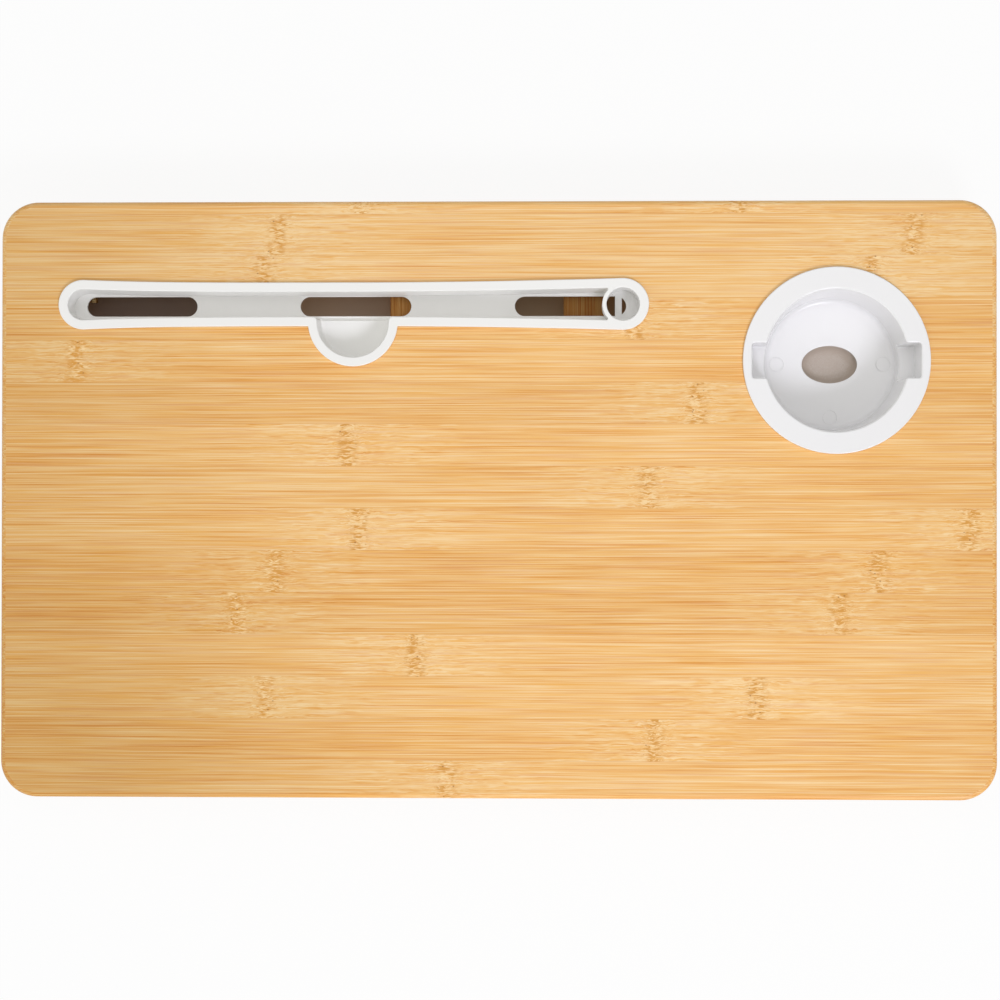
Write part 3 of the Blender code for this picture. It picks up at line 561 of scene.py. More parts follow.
# The right crossbar's colours: the legs' bamboo darkened further by painted shade, as that bar lies in deeper
# shade
PAINTED_SHADE_BAR_COLOURS = ((125, 71, 24), (146, 93, 40), (156, 107, 52), (168, 130, 78))
COLOUR_LEVELS = (0.06, 0.34, 0.58, 0.95)
# Tint of the board's painted shade, where light and sheen fall off towards its ends
PAINTED_FALLOFF_TINT = (0.75, 0.72, 0.6, 1)

# Widths of the strips and their rear edge, then heights of the plies and their base, in millimetres
BOARD_STRIPS = (21.11, 143.45 + 21.11)
NARROW_STRIPS = (7.4, 300.0)
BOARD_PLIES = (6.0, 28.0)
RAIL_PLIES = (9.3, 0.0)
POST_PLIES = (7.4, 5.7)
BAR_PLIES = (6.0, 7.0)

# Patterns of fibres: lengths in millimetres along, across and through the strip, the seed's factor, then the
# noise's detail and roughness
FIBRES = (
    (170, 3.4, 3.4, 9.1, 1, 0.5),  # broad bands
    (150, 0.6, 0.7, 7.7, 2, 0.65),  # lines
    (55, 0.36, 0.4, 3.3, 1, 0.5),  # threads
    (150, 1.05, 1.1, 2.7, 1, 0.5),  # veins
    (13, 0.8, 0.8, 4.1, 2, 0.6),  # short fibres beside a ring
    (45, 0.9, 0.9, 6.3, 2, 0.5),  # pink or golden blush
)

# Growth rings: how far one sways, and where its short fibres, curled fibres, strokes and pores end and are
# full, in millimetres from the ring. Then the same for the glue from a strip's edge, and the grain's depth
RING_SWAY = 9
RING_ZONE = (70, 8)
RING_CURL = (17, 3)
RING_STROKES = (6.8, 2.6)
RING_PORES = (5, 3.4)
SEAM = (0.15, 0.02)
GRAIN_DEPTH = 0.02 * MM

# Where a ring can be looked up: the span's start and length, and the place that stands for none. Then how far
# from the middle one lies by chance at most, and the number that tells the plies apart
RING_SPAN = (-300, 1000)
NO_RING = 700
CHANCE_SPAN = 260
PLY_SEED = 37

# Growth rings across the board's strips, by their places along it in millimetres, from the rear strip on
BOARD_RINGS = (
    (-68.7, 120.8), (-110.5, 208.0), (-116.6, 187.1), (68.9, NO_RING), (-211.6, NO_RING), (100.4, NO_RING),
    (-74.6, NO_RING), (75.9, NO_RING), (-69.5, 236.3), (-111.2, 191.1), (-130.4, 171.7), (-40.7, NO_RING),
    (-116.2, 130.4), (79.5, NO_RING), (-24.6, NO_RING), (NO_RING, NO_RING),
)


def ring_places(tree, number, place, habit, rings):
    """Places of the two rings that cross a strip: looked up by its number, or by chance."""
    if not rings:
        return [(place - 1) * CHANCE_SPAN, habit * CHANCE_SPAN]
    start, span = RING_SPAN
    shares = [[(at - start) / span for at in pair] for pair in rings]
    stops = [(index / len(rings), (*pair, 0, 1)) for index, pair in enumerate(shares)]
    looked_up = tree.ramp((number + 0.5) / len(rings), stops, "CONSTANT")
    return [share * span + start for share in tree.split(looked_up)[:2]]


def in_strip(tree, grain, strip, layer, rings, seed):
    """Where a point lies in its strip and how near a ring, with the strip's own numbers."""
    x, y, z = rest_millimetres(tree)
    at = SimpleNamespace(x=x, y=y, z=z)
    at.along, at.across = (x, y) if grain == "X" else (y, x)
    at.end_grain = coordinates(tree, "Normal")["XY".index(grain)].size().fade(0.65, 0.98)
    at.width, rear_edge = strip
    height, base = layer
    count = (rear_edge - at.across) / at.width
    number = count.floor()
    at.share = count - number
    at.own = number + ((z - base) / height).floor() * PLY_SEED + seed
    at.tone, place, at.habit = tree.chance(at.own, 0.5, seed)
    sway = (tree.noise(at.across / 3.0, at.own * 3.1, z / 2.6, detail=3) - 0.5) * RING_SWAY
    offsets = [at.along - ring + sway for ring in ring_places(tree, number, place, at.habit, rings)]
    at.near = offsets[0].size().least(offsets[1].size())
    at.zone = at.near.fade(*RING_ZONE)
    at.cloud = tree.noise(at.along / 45, at.across / 12, at.own * 1.7, detail=2)
    return at


def fibres(tree, at, colours, board):
    """Colour of the fibres, straight between rings and wavering near them, then their lines and threads."""
    along, across, z, own, zone = at.along, at.across, at.z, at.own, at.zone
    drift = (tree.noise(along / 150, across / 14, own * 5.9, detail=1) - 0.5) * 1.8
    waver = (tree.noise(along / 16, across / 4, own * 5.3 + z / 4, detail=2) - 0.5) * (zone * 2.0 + 0.2)
    curl = tree.noise(along / 3.2, across / 1.6, own * 2.9 + z / 2, detail=2) - 0.5
    path, lift = across + drift + waver + curl * at.near.fade(*RING_CURL) * 2.6, z + waver
    broad, lines, threads, veins, short, blush = (
        tree.noise(along / length, path / width, lift / height + own * factor, detail=detail, roughness=rough)
        for length, width, height, factor, detail, rough in FIBRES
    )
    level = 0.5 + zone * 0.12 - veins.fade(0.4, 0.26) * 0.18 - at.end_grain * 0.2
    shares = (
        (at.tone, 0.2), (at.cloud, 0.3), (broad, 0.2), (threads, 1.5),
        (lines, 1.5 - zone * 0.6), (short, zone * 1.15 + 0.06),
    )
    for pattern, share in shares:
        level += (pattern - 0.5) * share
    if board:
        level += at.y.fade(50, 120) * 0.16
    plain = tree.ramp(level, zip(COLOUR_LEVELS, (shown(*colour) for colour in colours)))
    colour = tree.mix(blush.fade(0.53, 0.68) * 0.4, plain, tinted(colours[1], 0.98, 1, 1.3))
    colour = tree.mix(blush.fade(0.45, 0.3) * 0.5, colour, tinted(colours[1], 1.02, 1.02, 0.86))
    return colour, lines, threads


def painted_falloff_and_strip_tone(tree, at, colour):
    """The board's colour, with painted shade that makes it darker towards its left end, its front left corner
    and a little its right end, where light and sheen fall off, and a tone for each strip.
    """
    left = at.x.fade(-50, -290) * 0.65
    front_left = at.x.fade(20, -200) * at.y.fade(10, -140) * 0.57
    right = at.x.fade(140, 260) * 0.18
    colour = tree.mix(left + front_left + right, colour, PAINTED_FALLOFF_TINT, "MULTIPLY")
    shade = 1.0 + (at.habit + at.cloud - 1) * 0.05
    return tree.mix(1.0, colour, tree.vector(shade, shade, shade), "MULTIPLY")


def ring_marks(tree, at, colour, dark, pale):
    """Growth ring: short dark and pale strokes across the fibres' run with a few pores, and their height."""
    bent = at.across + at.near * (tree.noise(at.across / 1.6, at.own * 4.7, at.z / 2, detail=1) - 0.5) * 3.2
    strokes = tree.noise(at.along / 5, bent / 0.85, at.own * 6.1 + at.z / 1.2, detail=2, distortion=0.35)
    reach = tree.noise(at.own * 2.3, at.across / 0.8, at.z / 2, detail=1)
    ring = (at.near - (reach - 0.5) * 10).fade(*RING_STROKES)
    paler = shown(*(part + more for part, more in zip(pale, (1, 3, 3))))
    colour = tree.mix(ring * strokes.fade(0.53, 0.4) * 0.95, colour, tinted(dark, 0.98, 1.05, 1.1))
    colour = tree.mix(ring * strokes.fade(0.52, 0.68) * 0.8, colour, paler)
    cells = tree.node("ShaderNodeTexVoronoi")
    spot = tree.vector(at.along / 2.6, at.across / 1.7, at.own * 1.3 + at.z / 3)
    tree.fill(cells, Vector=spot, Scale=1.0, Randomness=0.9)
    chosen = tree.split(cells.outputs["Color"])[0].fade(0.7, 0.8)
    pores = Signal(tree, cells.outputs["Distance"]).fade(0.26, 0.1) * at.near.fade(*RING_PORES) * chosen
    colour = tree.mix(pores * 0.75, colour, tinted(dark, 0.68, 0.62, 0.5))
    return colour, strokes * ring * 0.4 - pores * 0.8


def bamboo(name, grain, strip, layer, colours, rings=None, seed=0.0, varnish=True):
    """Laminated bamboo: strips along X or Y with fibres, growth rings across them and glue between them."""
    material, tree, shader = new_material(name, 0.42)
    if not varnish:
        tree.fill(shader, Specular_IOR_Level=0.15)
    at = in_strip(tree, grain, strip, layer, rings, seed)
    colour, lines, threads = fibres(tree, at, colours, bool(rings))
    # Painted shade on the board towards its ends, where light and sheen fall off
    if rings:
        colour = painted_falloff_and_strip_tone(tree, at, colour)
    colour, marks = ring_marks(tree, at, colour, colours[0], colours[-1])
    seam = at.share.least(1 - at.share).fade(*(reach / at.width for reach in SEAM))
    colour = tree.mix(seam * 0.4, colour, tinted(colours[0], 0.85, 0.8, 0.75))
    tree.put(shader.inputs["Base Color"], colour)
    tree.put(shader.inputs["Roughness"], (0.36 if varnish else 0.6) + threads * 0.12 + at.end_grain * 0.12)
    add_bump(tree, shader, lines * 0.5 + threads * 0.3 + marks - seam * 0.6, GRAIN_DEPTH)
    return material


def moulded(name, colour, roughness, grain, depth):
    """Moulded plastic or rubber with a fine even texture."""
    material, tree, shader = new_material(name, roughness)
    x, y, z = rest_millimetres(tree)
    fine = tree.noise(x / grain, y / grain, z / grain, detail=2)
    clouds = tree.noise(x / 30, y / 30, z / 30, detail=2)
    tint = tree.mix((clouds - 0.5) * 0.5 + 0.5, (*(part * 0.985 for part in colour[:3]), 1), colour)
    tree.put(shader.inputs["Base Color"], tint)
    tree.put(shader.inputs["Roughness"], roughness - 0.05 + fine * 0.1)
    add_bump(tree, shader, fine, depth)
    return material


def zinc(name):
    """Zinc plate with fine turning marks and dull patches, in a warm yellow that is partly a painted
    reflection of the bamboo round it.
    """
    material, tree, shader = new_material(name, 0.3, metallic=1.0)
    x, y, z = rest_millimetres(tree)
    marks = tree.noise(x / 0.25, y / 0.25, z / 0.25, detail=3)
    patches = tree.noise(x / 2.5, y / 2.5, z / 2.5, detail=2)
    tree.put(shader.inputs["Base Color"], tree.mix(patches, shown(176, 150, 112), shown(206, 184, 138)))
    tree.put(shader.inputs["Roughness"], 0.22 + patches * 0.16 + marks * 0.08)
    add_bump(tree, shader, marks, 0.01 * MM)
    return material


BOARD = bamboo("board_bamboo", "X", BOARD_STRIPS, BOARD_PLIES, BOARD_COLOURS, BOARD_RINGS, 11)
APRON_X = bamboo("apron_bamboo_long", "X", NARROW_STRIPS, RAIL_PLIES, APRON_COLOURS, seed=3)
APRON_Y = bamboo("apron_bamboo_end", "Y", NARROW_STRIPS, RAIL_PLIES, APRON_COLOURS, seed=5)
LEG_X = bamboo("leg_bamboo_post", "X", NARROW_STRIPS, POST_PLIES, LEG_COLOURS, seed=7, varnish=False)
# The right crossbar takes the colours with painted shade
CROSSBARS = {
    end: bamboo(f"leg_bamboo_{end}_bar", "Y", NARROW_STRIPS, BAR_PLIES, colours, seed=9, varnish=False)
    for end, colours in (("left", LEG_COLOURS), ("right", PAINTED_SHADE_BAR_COLOURS))
}
PLASTIC = moulded("white_plastic", shown(248, 247, 245), 0.42, 0.35, 0.012 * MM)
CUP_PLASTIC = moulded("white_plastic_cup", shown(242, 241, 242), 0.2, 0.35, 0.012 * MM)
NYLON = moulded("nylon", shown(226, 224, 214), 0.45, 0.5, 0.01 * MM)
RUBBER = moulded("rubber", shown(46, 46, 48), 0.8, 0.4, 0.05 * MM)
ZINC = zinc("zinc_steel")


# ---- Tablet slot

slot_low, slot_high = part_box("tablet_slot_insert")
slot_top = slot_high.z
slot_floor = slot_low.z + WALL
slot_left_end = slot_low.x + SLOT_FLANGE_OFFSET
slot_right_end = slot_high.x - SLOT_FLANGE_OFFSET
slot_x = (slot_left_end + slot_right_end) / 2
slot_left_x = slot_left_end + SLOT_END
pen_x = slot_right_end - PEN_RADIUS
slot_y = slot_high.y - SLOT_FLANGE_OFFSET - PEN_RADIUS
scoop_y = slot_y - SLOT_WAIST - SCOOP_SETBACK
scoop_floor = slot_floor + SCOOP_STEP
scoop_foot = SCOOP_RADIUS - SCOOP_DRAFT - SCOOP_FOOT
board_low, board_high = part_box("tabletop")
lug_top = board_low.z - HOLE_GAP


def slot_half(x):
    """Half the slot's width at x: narrowest in the middle."""
    if x < slot_x:
        return SLOT_WAIST + (SLOT_END - SLOT_WAIST) * ((slot_x - x) / (slot_x - slot_left_x)) ** 4
    return SLOT_WAIST + (PEN_RADIUS - SLOT_WAIST) * ((x - slot_x) / (pen_x - slot_x)) ** 2


def slot_outline(growth):
    """Outline of the whole slot, grown outwards."""
    xs = between(slot_left_x, slot_x, ARC_STEPS)[1:] + between(slot_x, pen_x, ARC_STEPS)[1:-1]
    side = [(x, slot_half(x) + growth) for x in xs]
    left = arc((slot_left_x, slot_y), SLOT_END + growth, 90, 270)
    right = arc((pen_x, slot_y), PEN_RADIUS + growth, 270, 450)
    front = [(x, slot_y - half) for x, half in side]
    return left + front + right + [(x, slot_y + half) for x, half in reversed(side)]


def scoop_outline(radius):
    """Outline of the scoop: half round in front, with straight sides back into the slot."""
    sides = [(slot_x + radius, slot_y), (slot_x - radius, slot_y)]
    return arc((slot_x, scoop_y), radius, 180, 360, 48) + sides


def pen_corner(side, shrink):
    """Centre and angle of the fillet between the channel's side and the pen ring's wall."""
    reach = slot_half(pen_x - 0.9 * PEN_RADIUS) * shrink - PEN_CORNER
    run = math.sqrt((PEN_RADIUS + PEN_WALL + PEN_CORNER) ** 2 - reach**2)
    return (pen_x - run, slot_y + side * reach), math.degrees(math.atan2(reach, run))


def channel_outline(growth, scoop, draft, closed=None):
    """Outline of the channel and the scoop; closed is the front edge's set-back below the scoop's floor."""
    shrink = {1: 1 - draft * SLOT_REAR_DRAFT / SLOT_WAIST, -1: 1 - draft * SLOT_FRONT_DRAFT / SLOT_WAIST}

    def bank(side, start, end, steps=ARC_STEPS):
        """Points between two places on the rear side (1) or the front one (-1)."""
        xs = between(start, end, steps)[1:-1]
        return [(x, slot_y + side * (slot_half(x) * shrink[side] + growth)) for x in xs]

    radius, fillet, corner = scoop + growth, SCOOP_CORNER - growth, PEN_CORNER + growth
    front = slot_y - SLOT_WAIST * shrink[-1] - growth
    (rear_x, rear_y), rear_angle = pen_corner(1, shrink[1])
    (front_x, front_y), front_angle = pen_corner(-1, shrink[-1])
    left = []
    for x, y in arc((slot_left_x, 0), SLOT_END, 90, 270):
        turn = Vector((x - slot_left_x, y)).normalized() * growth
        left.append((x + turn.x, slot_y + y * shrink[1 if y > 0 else -1] + turn.y))
    start = slot_x - radius - fillet
    corners = arc((start, front - fillet), fillet, 90, 0, 6)
    pocket = corners + arc((slot_x, scoop_y), radius, 184, 356, 36)
    pocket += [(2 * slot_x - x, y) for x, y in reversed(corners)]
    if closed is not None:
        pocket = [(x, max(y, front - closed)) for x, y in pocket]
    right = arc((front_x, front_y), corner, -90, front_angle, 6)
    right += arc((pen_x, slot_y), PEN_RADIUS + PEN_WALL - growth, 180 + front_angle, 180 - rear_angle)[1:-1]
    right += arc((rear_x, rear_y), corner, -rear_angle, 90, 6)[:-1]
    rear = [(rear_x, rear_y + corner)] + bank(1, rear_x, slot_left_x, 2 * ARC_STEPS)
    return rear + left + bank(-1, slot_left_x, start) + pocket + bank(-1, 2 * slot_x - start, front_x) + right


def channel_cutter():
    """Bmesh of the channel with the scoop's pocket and a rounded rim."""

    def level(height, radius, closed=None):
        """The outline at a height, where the sides lean in."""
        return height, channel_outline(0, radius, (slot_top - height) / (slot_top - slot_floor), closed)

    levels = [level(slot_floor, scoop_foot, SCOOP_LEDGE)]
    for drop, out in rounding(SCOOP_EDGE, 3):
        levels.append(level(scoop_floor - drop, scoop_foot, SCOOP_LEDGE + out))
    for inset, rise in rounding(SCOOP_FOOT, 6):
        levels.append(level(scoop_floor + rise, scoop_foot + SCOOP_FOOT - inset))
    levels.append(level(slot_top - SLOT_LIP, SCOOP_RADIUS))
    for height, growth in lip(SLOT_LIP, slot_top)[1:]:
        levels.append((height, channel_outline(growth, SCOOP_RADIUS, 0)))
    return loft(levels)


def stadium(x, y, length, width, growth):
    """Outline of a slot with round ends, grown outwards."""
    reach, radius = (length - width) / 2, width / 2 + growth
    return arc((x + reach, y), radius, -90, 90) + arc((x - reach, y), radius, 90, 270)


def raised(outline, levels):
    """Bmesh of a solid through levels, given as (height, growth) of an outline that is a function of it."""
    return loft([(height, outline(growth)) for height, growth in levels])


def floor_hole(low, top, outline):
    """Bmesh of a hole through a floor with a rounded rim."""
    return raised(outline, [(low - OVERSHOOT, 0.0)] + lip(HOLE_LIP, top, 3))


def floor_hole_cutters():
    """Bmeshes of the drain slots in the channel's floor; a bar crosses the one under the pen ring."""
    rear = slot_y + SLOT_WAIST - SLOT_REAR_DRAFT - HOLE_REAR_LEDGE
    front = slot_y - SLOT_WAIST + SLOT_FRONT_DRAFT + HOLE_FRONT_LEDGE
    pitch = (slot_right_end - slot_left_end - HOLE_LENGTH) / 2 - HOLE_MARGIN
    cutters = []
    for x in (slot_x - pitch, slot_x, slot_x + pitch):
        outline = partial(stadium, x, (rear + front) / 2, HOLE_LENGTH, rear - front)
        cutters.append(floor_hole(slot_low.z, slot_floor, outline))
    bar_left = pen_x - PEN_BAR_SHIFT - PEN_BAR / 2
    bar_low = Vector((bar_left, front - OVERSHOOT, slot_low.z - 2 * OVERSHOOT))
    bar_high = Vector((bar_left + PEN_BAR, rear + OVERSHOOT, slot_floor + OVERSHOOT))
    split = carve(make("hole_under_ring", cutters.pop()), [slab(bar_low, bar_high)])
    cutters.append(bmesh.new())
    cutters[-1].from_mesh(split.data)
    bpy.data.objects.remove(split, do_unlink=True)
    return cutters


def lug(centre, angle, root, catch):
    """Bmesh of a snap lug: a wedge whose flat top catches under the board."""
    bm = bmesh.new()
    bmesh.ops.create_cube(bm, size=1)
    for vert in bm.verts:
        upper = vert.co.z > 0
        reach = (catch if upper else root - CUTOUT_GAP) if vert.co.x > 0 else root - WALL
        vert.co = (reach, vert.co.y * LUG_WIDTH, lug_top if upper else lug_top - LUG_HEIGHT)
    return moved(bm, Matrix.Translation((*centre, 0)) @ Matrix.Rotation(angle, 4, "Z"))


def flange(outline, reach):
    """Bmesh of the slot's flange, round an outline and with rounded edges."""
    rim = edge(FLANGE_EDGE, slot_top - FLANGE, slot_top)
    return raised(outline, [(height, reach - inset) for height, inset in rim])


def shell(low, outline, foot, top):
    """Bmesh of a trough's outside with a softened foot, up to the middle of the flange."""
    return raised(outline, ((low, foot - SHELL_FOOT), (low + SHELL_FOOT, foot), (slot_top - FLANGE / 2, top)))


def slot_insert():
    """White moulding with the channel, scoop, pen ring and drain slots."""
    piece = make("slot_moulding", flange(slot_outline, SLOT_FLANGE_OFFSET))
    joined = [
        flange(scoop_outline, SCOOP_RADIUS + SCOOP_FLANGE_OFFSET),
        shell(slot_low.z, slot_outline, WALL, WALL),
        shell(scoop_floor - WALL, scoop_outline, SCOOP_RADIUS - SCOOP_DRAFT + WALL, SCOOP_RADIUS + WALL),
    ]
    for share in LUG_STATIONS:
        x = slot_x + share * (slot_right_end - slot_left_end) / 2
        root = slot_half(x) + WALL
        for angle in (math.pi / 2, -math.pi / 2):
            joined.append(lug((x, slot_y), angle, root, root + CUTOUT_GAP + LUG_CATCH))
    rim = [(slot_floor, 0.0)] + lip(SLOT_LIP, slot_top)
    pen = raised(lambda growth: circle(pen_x, slot_y, PEN_RADIUS + growth), rim)
    carve(piece, [channel_cutter(), pen, *floor_hole_cutters()], joined)
    dress(piece, PLASTIC, "root", "tablet_slot_insert")


# ---- Cup holder

cup_low, cup_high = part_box("cup_holder_insert")
cup_x, cup_y = (cup_low.x + cup_high.x) / 2, (cup_low.y + cup_high.y) / 2
cup_floor = cup_low.z + WALL
notch_floor = cup_floor + NOTCH_RISE


def cup_radius(height, mouth=CUP_MOUTH, floor=CUP_FLOOR):
    """Radius of the well's leaning side at a height above its floor's fillet."""
    bend = cup_floor + CUP_FILLET
    return mouth + (floor - mouth) * (cup_high.z - height) / (cup_high.z - bend)


def cup_outline(radius, notch, growth=0.0):
    """Outline of the well; notch is True for both handle notches, or how far out of the circle they start."""
    half, reach, corner = NOTCH_HALF + growth, NOTCH_REACH + growth, NOTCH_CORNER + growth
    blend = max(NOTCH_BLEND - growth, NOTCH_BLEND_LEAST)
    x = math.sqrt((radius + blend) ** 2 - (half + blend) ** 2)
    angle = math.degrees(math.atan2(half + blend, x))
    if notch is True:
        front = arc((x, -half - blend), blend, 180 - angle, 90, 4)
        front += arc((reach - corner, -half + corner), corner, -90, 0, 4)
    else:
        front = arc((0, 0), radius, -angle, 0, 10)[:-1]
        grown = [1 + min(1, index / 4) * notch / radius for index in range(len(front))]
        front = [(px * more, py * more) for (px, py), more in zip(front, grown)]
    half_turn = front + [(px, -py) for px, py in reversed(front)]
    half_turn += arc((0, 0), radius, angle, 180 - angle, CUP_STEPS // 2)[1:-1]
    points = half_turn + [(-px, -py) for px, py in half_turn]
    return [(cup_x + px, cup_y + py) for px, py in points]


def cup_cutter():
    """Bmesh of the well with its handle notches and a rounded rim."""
    fillet = arc((CUP_FLOOR - CUP_FILLET, cup_floor + CUP_FILLET), CUP_FILLET, -90, 0, 8)
    levels = [(height, cup_outline(radius, 0.0)) for radius, height in fillet]
    for drop, out in rounding(NOTCH_RIM):
        levels.append((notch_floor - drop, cup_outline(cup_radius(notch_floor - drop), out)))
    for inset, rise in rounding(NOTCH_RIM):
        levels.append((notch_floor + rise, cup_outline(cup_radius(notch_floor + rise), True, -inset)))
    for height, growth in lip(CUP_LIP, cup_high.z, 7):
        levels.append((height, cup_outline(cup_radius(height) + growth, True, growth)))
    return loft(levels)


def cup_body():
    """Bmesh of the cup's outside under its flange, without the notches."""
    reach = (cup_high.x - cup_low.x) / 2
    flange_low = cup_high.z - FLANGE
    fillet = CUP_FILLET + WALL
    rim = reversed(edge(FLANGE_EDGE, flange_low, cup_high.z))
    profile = [(0, cup_high.z)] + [(reach - inset, height) for height, inset in rim]
    profile.append((cup_radius(flange_low, CUP_RIM, CUP_RIM - CUP_TAPER) + WALL, flange_low))
    profile += arc((CUP_RIM - CUP_TAPER + WALL - fillet, cup_floor + CUP_FILLET), fillet, 0, -90, 8)
    profile.append((0, cup_low.z))
    return moved(turned(profile, CUP_STEPS), Matrix.Translation((cup_x, cup_y, 0)))


def notch_block():
    """Bmesh of the block round both handle notches, with rounded upright edges."""
    grow = Vector((NOTCH_REACH + NOTCH_WALL, NOTCH_HALF + NOTCH_WALL))
    low = Vector((cup_x - grow.x, cup_y - grow.y, notch_floor - WALL))
    block = slab(low, Vector((cup_x + grow.x, cup_y + grow.y, cup_high.z - FLANGE / 2)))
    upright_edges = [item for item in block.edges if abs(item.verts[0].co.z - item.verts[1].co.z) > MM]
    return rounded(block, upright_edges, NOTCH_CORNER + NOTCH_WALL, 8)


def ejector_mark(angle):
    """Bmesh of the sunk ring that an ejector pin leaves in the cup's floor."""
    inner, outer, low = EJECTOR_RADIUS - EJECTOR_GROOVE, EJECTOR_RADIUS, -EJECTOR_GROOVE
    ring = turned([(inner, low), (outer, low), (outer, MM), (inner, MM), (inner, low)])
    x, y = cup_x + EJECTOR_REACH * math.cos(angle), cup_y + EJECTOR_REACH * math.sin(angle)
    return moved(ring, Matrix.Translation((x, y, cup_floor)))


def cup_insert():
    """White moulding with the well, its notches and drain."""
    piece = make("cup_moulding", cup_body())
    joined = [notch_block()]
    root = CUP_RIM + WALL
    for quarter in range(4):
        angle = math.radians(45 + 90 * quarter)
        joined.append(lug((cup_x, cup_y), angle, root - LUG_ROOT, root + CUTOUT_GAP + LUG_CATCH))

    def drain(growth):
        """Outline of the drain, grown outwards."""
        return circle(cup_x, cup_y, DRAIN_HALF_LENGTH + growth, DRAIN_HALF_WIDTH + growth)

    removed = [cup_cutter(), floor_hole(cup_low.z, cup_floor, drain)]
    removed += [ejector_mark(math.pi / 2 * quarter) for quarter in (0, 2, 3)]
    carve(piece, removed, joined)
    dress(piece, CUP_PLASTIC, "root", "cup_holder_insert")


# ---- Wood

RAILS = ("front_rail", "rear_rail", "left_end_rail", "right_end_rail")
ENDS = (("left", 1), ("right", -1))  # with the way in along X
PLACES = (("front", -1), ("rear", 1))  # with the way out along Y


def centre_of(node):
    """Middle of a CAD node's box."""
    low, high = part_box(node)
    return (low + high) / 2


def screw_nodes(wood):
    """Names of the screws of a rail or a crossbar."""
    return sorted(name for name in frame["nodes"] if name.startswith(f"{wood}_screw"))


def hole(fastener, start, end, radius):
    """Bmesh of a hole round a fastener between two places on its line: upright in the apron, else along Y."""
    at = centre_of(fastener)
    middle, length = (start + end) / 2, abs(end - start)
    if fastener.startswith(RAILS):
        return rod(Matrix.Translation((at.x, at.y, middle)), radius, length)
    crosswise = Matrix.Translation((at.x, middle, at.z)) @ Matrix.Rotation(math.pi / 2, 4, "X")
    return rod(crosswise, radius, length)


def sunk_hole(screw, outer, inner, seat):
    """Bmeshes of a screw's hole through its wood and of the wider one from outside to its head's seat."""
    low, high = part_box(screw)
    head = (high.x - low.x) / 2 + HEAD_SEAT_GAP
    return [hole(screw, outer, inner, SHAFT_HOLE), hole(screw, outer, seat, head)]


APRON_SCREWS = [node for rail in RAILS for node in screw_nodes(rail)]


def board():
    """Board with rounded corners and edges, cut out for both inserts and drilled for the screws."""
    low, high = board_low, board_high
    levels = []
    for height, inset in edge(BOARD_EDGE, low.z, high.z, BOARD_EDGE):
        outline = []
        for turn, x, y in ((-90, high.x, low.y), (0, *high.xy), (90, low.x, high.y), (180, *low.xy)):
            corner = (x - math.copysign(BOARD_CORNER, x), y - math.copysign(BOARD_CORNER, y))
            outline += arc(corner, BOARD_CORNER - inset, turn, turn + 90, 20)
        levels.append((height, outline))
    piece = make("bamboo_board", loft(levels))
    below, above = low.z - OVERSHOOT, high.z + OVERSHOOT
    grow = WALL + CUTOUT_GAP
    cup = cup_outline(CUP_RIM + grow, True, NOTCH_WALL + CUTOUT_GAP)
    outlines = (slot_outline(grow), scoop_outline(SCOOP_RADIUS + grow), cup)
    removed = [loft([(below, outline), (above, outline)]) for outline in outlines]
    removed += [hole(node, below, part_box(node)[1].z + HOLE_GAP, SHAFT_HOLE) for node in APRON_SCREWS]
    carve(piece, removed)
    dress(piece, BOARD, "root", "tabletop")


def rails():
    """The four rails of the apron with their screw holes, counterbores and pivot holes."""
    for node in RAILS:
        low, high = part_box(node)
        piece = make(f"bamboo_{node}", slab(low, high, WOOD_EDGE))
        removed = []
        for screw in screw_nodes(node):
            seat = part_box(screw)[0].z + SCREW_HEAD + HOLE_GAP
            removed += sunk_hole(screw, low.z - OVERSHOOT, high.z + OVERSHOOT, seat)
        ends = () if "end" in node else ("left", "right")
        for end in ends:
            bolt = f"pivot_bolt_{node.removesuffix('_rail')}_{end}"
            removed.append(hole(bolt, low.y - OVERSHOOT, high.y + OVERSHOOT, BOLT_HOLE))
        carve(piece, removed)
        dress(piece, APRON_X if ends else APRON_Y, "root", node)


def post(end, inward, place, side):
    """Post of a leg: round at its pivot and slanted at its foot, with holes for its bolt and screws."""
    node = f"{end}_leg_{place}_post"
    low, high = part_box(node)
    bolt = f"pivot_bolt_{place}_{end}"
    pivot = centre_of(bolt)
    half = (high.z - low.z) / 2
    tip = low.x if inward < 0 else high.x
    outline = arc((pivot.x, pivot.z), half, 90, 270, 28)
    if inward < 0:
        outline = [(2 * pivot.x - x, z) for x, z in outline]
    outline += [(tip, low.z), (tip - inward * 2 * half * math.tan(SPLAY), high.z)]
    # The outline's second axis is height, and its levels run across the table
    swapped = Matrix(((1, 0, 0, 0), (0, 0, 1, 0), (0, 1, 0, 0), (0, 0, 0, 1)))
    bm = moved(loft([(low.y, outline), (high.y, outline)]), swapped)
    sharp = [item for item in bm.edges if item.calc_face_angle(0) > math.radians(SHARP_ANGLE)]
    piece = make(f"bamboo_{node}", rounded(bm, sharp, WOOD_EDGE))
    through = (low.y - OVERSHOOT, high.y + OVERSHOOT)
    removed = [hole(bolt, *through, BOLT_HOLE)]
    for screw in screw_nodes(f"{end}_leg_crossbar"):
        if f"_{place}_" in screw:
            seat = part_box(screw)[side > 0].y - side * (SCREW_HEAD + HOLE_GAP)
            removed += sunk_hole(screw, through[side > 0], through[side < 0], seat)
    carve(piece, removed)
    dress(piece, LEG_X, f"{end}_leg", node)


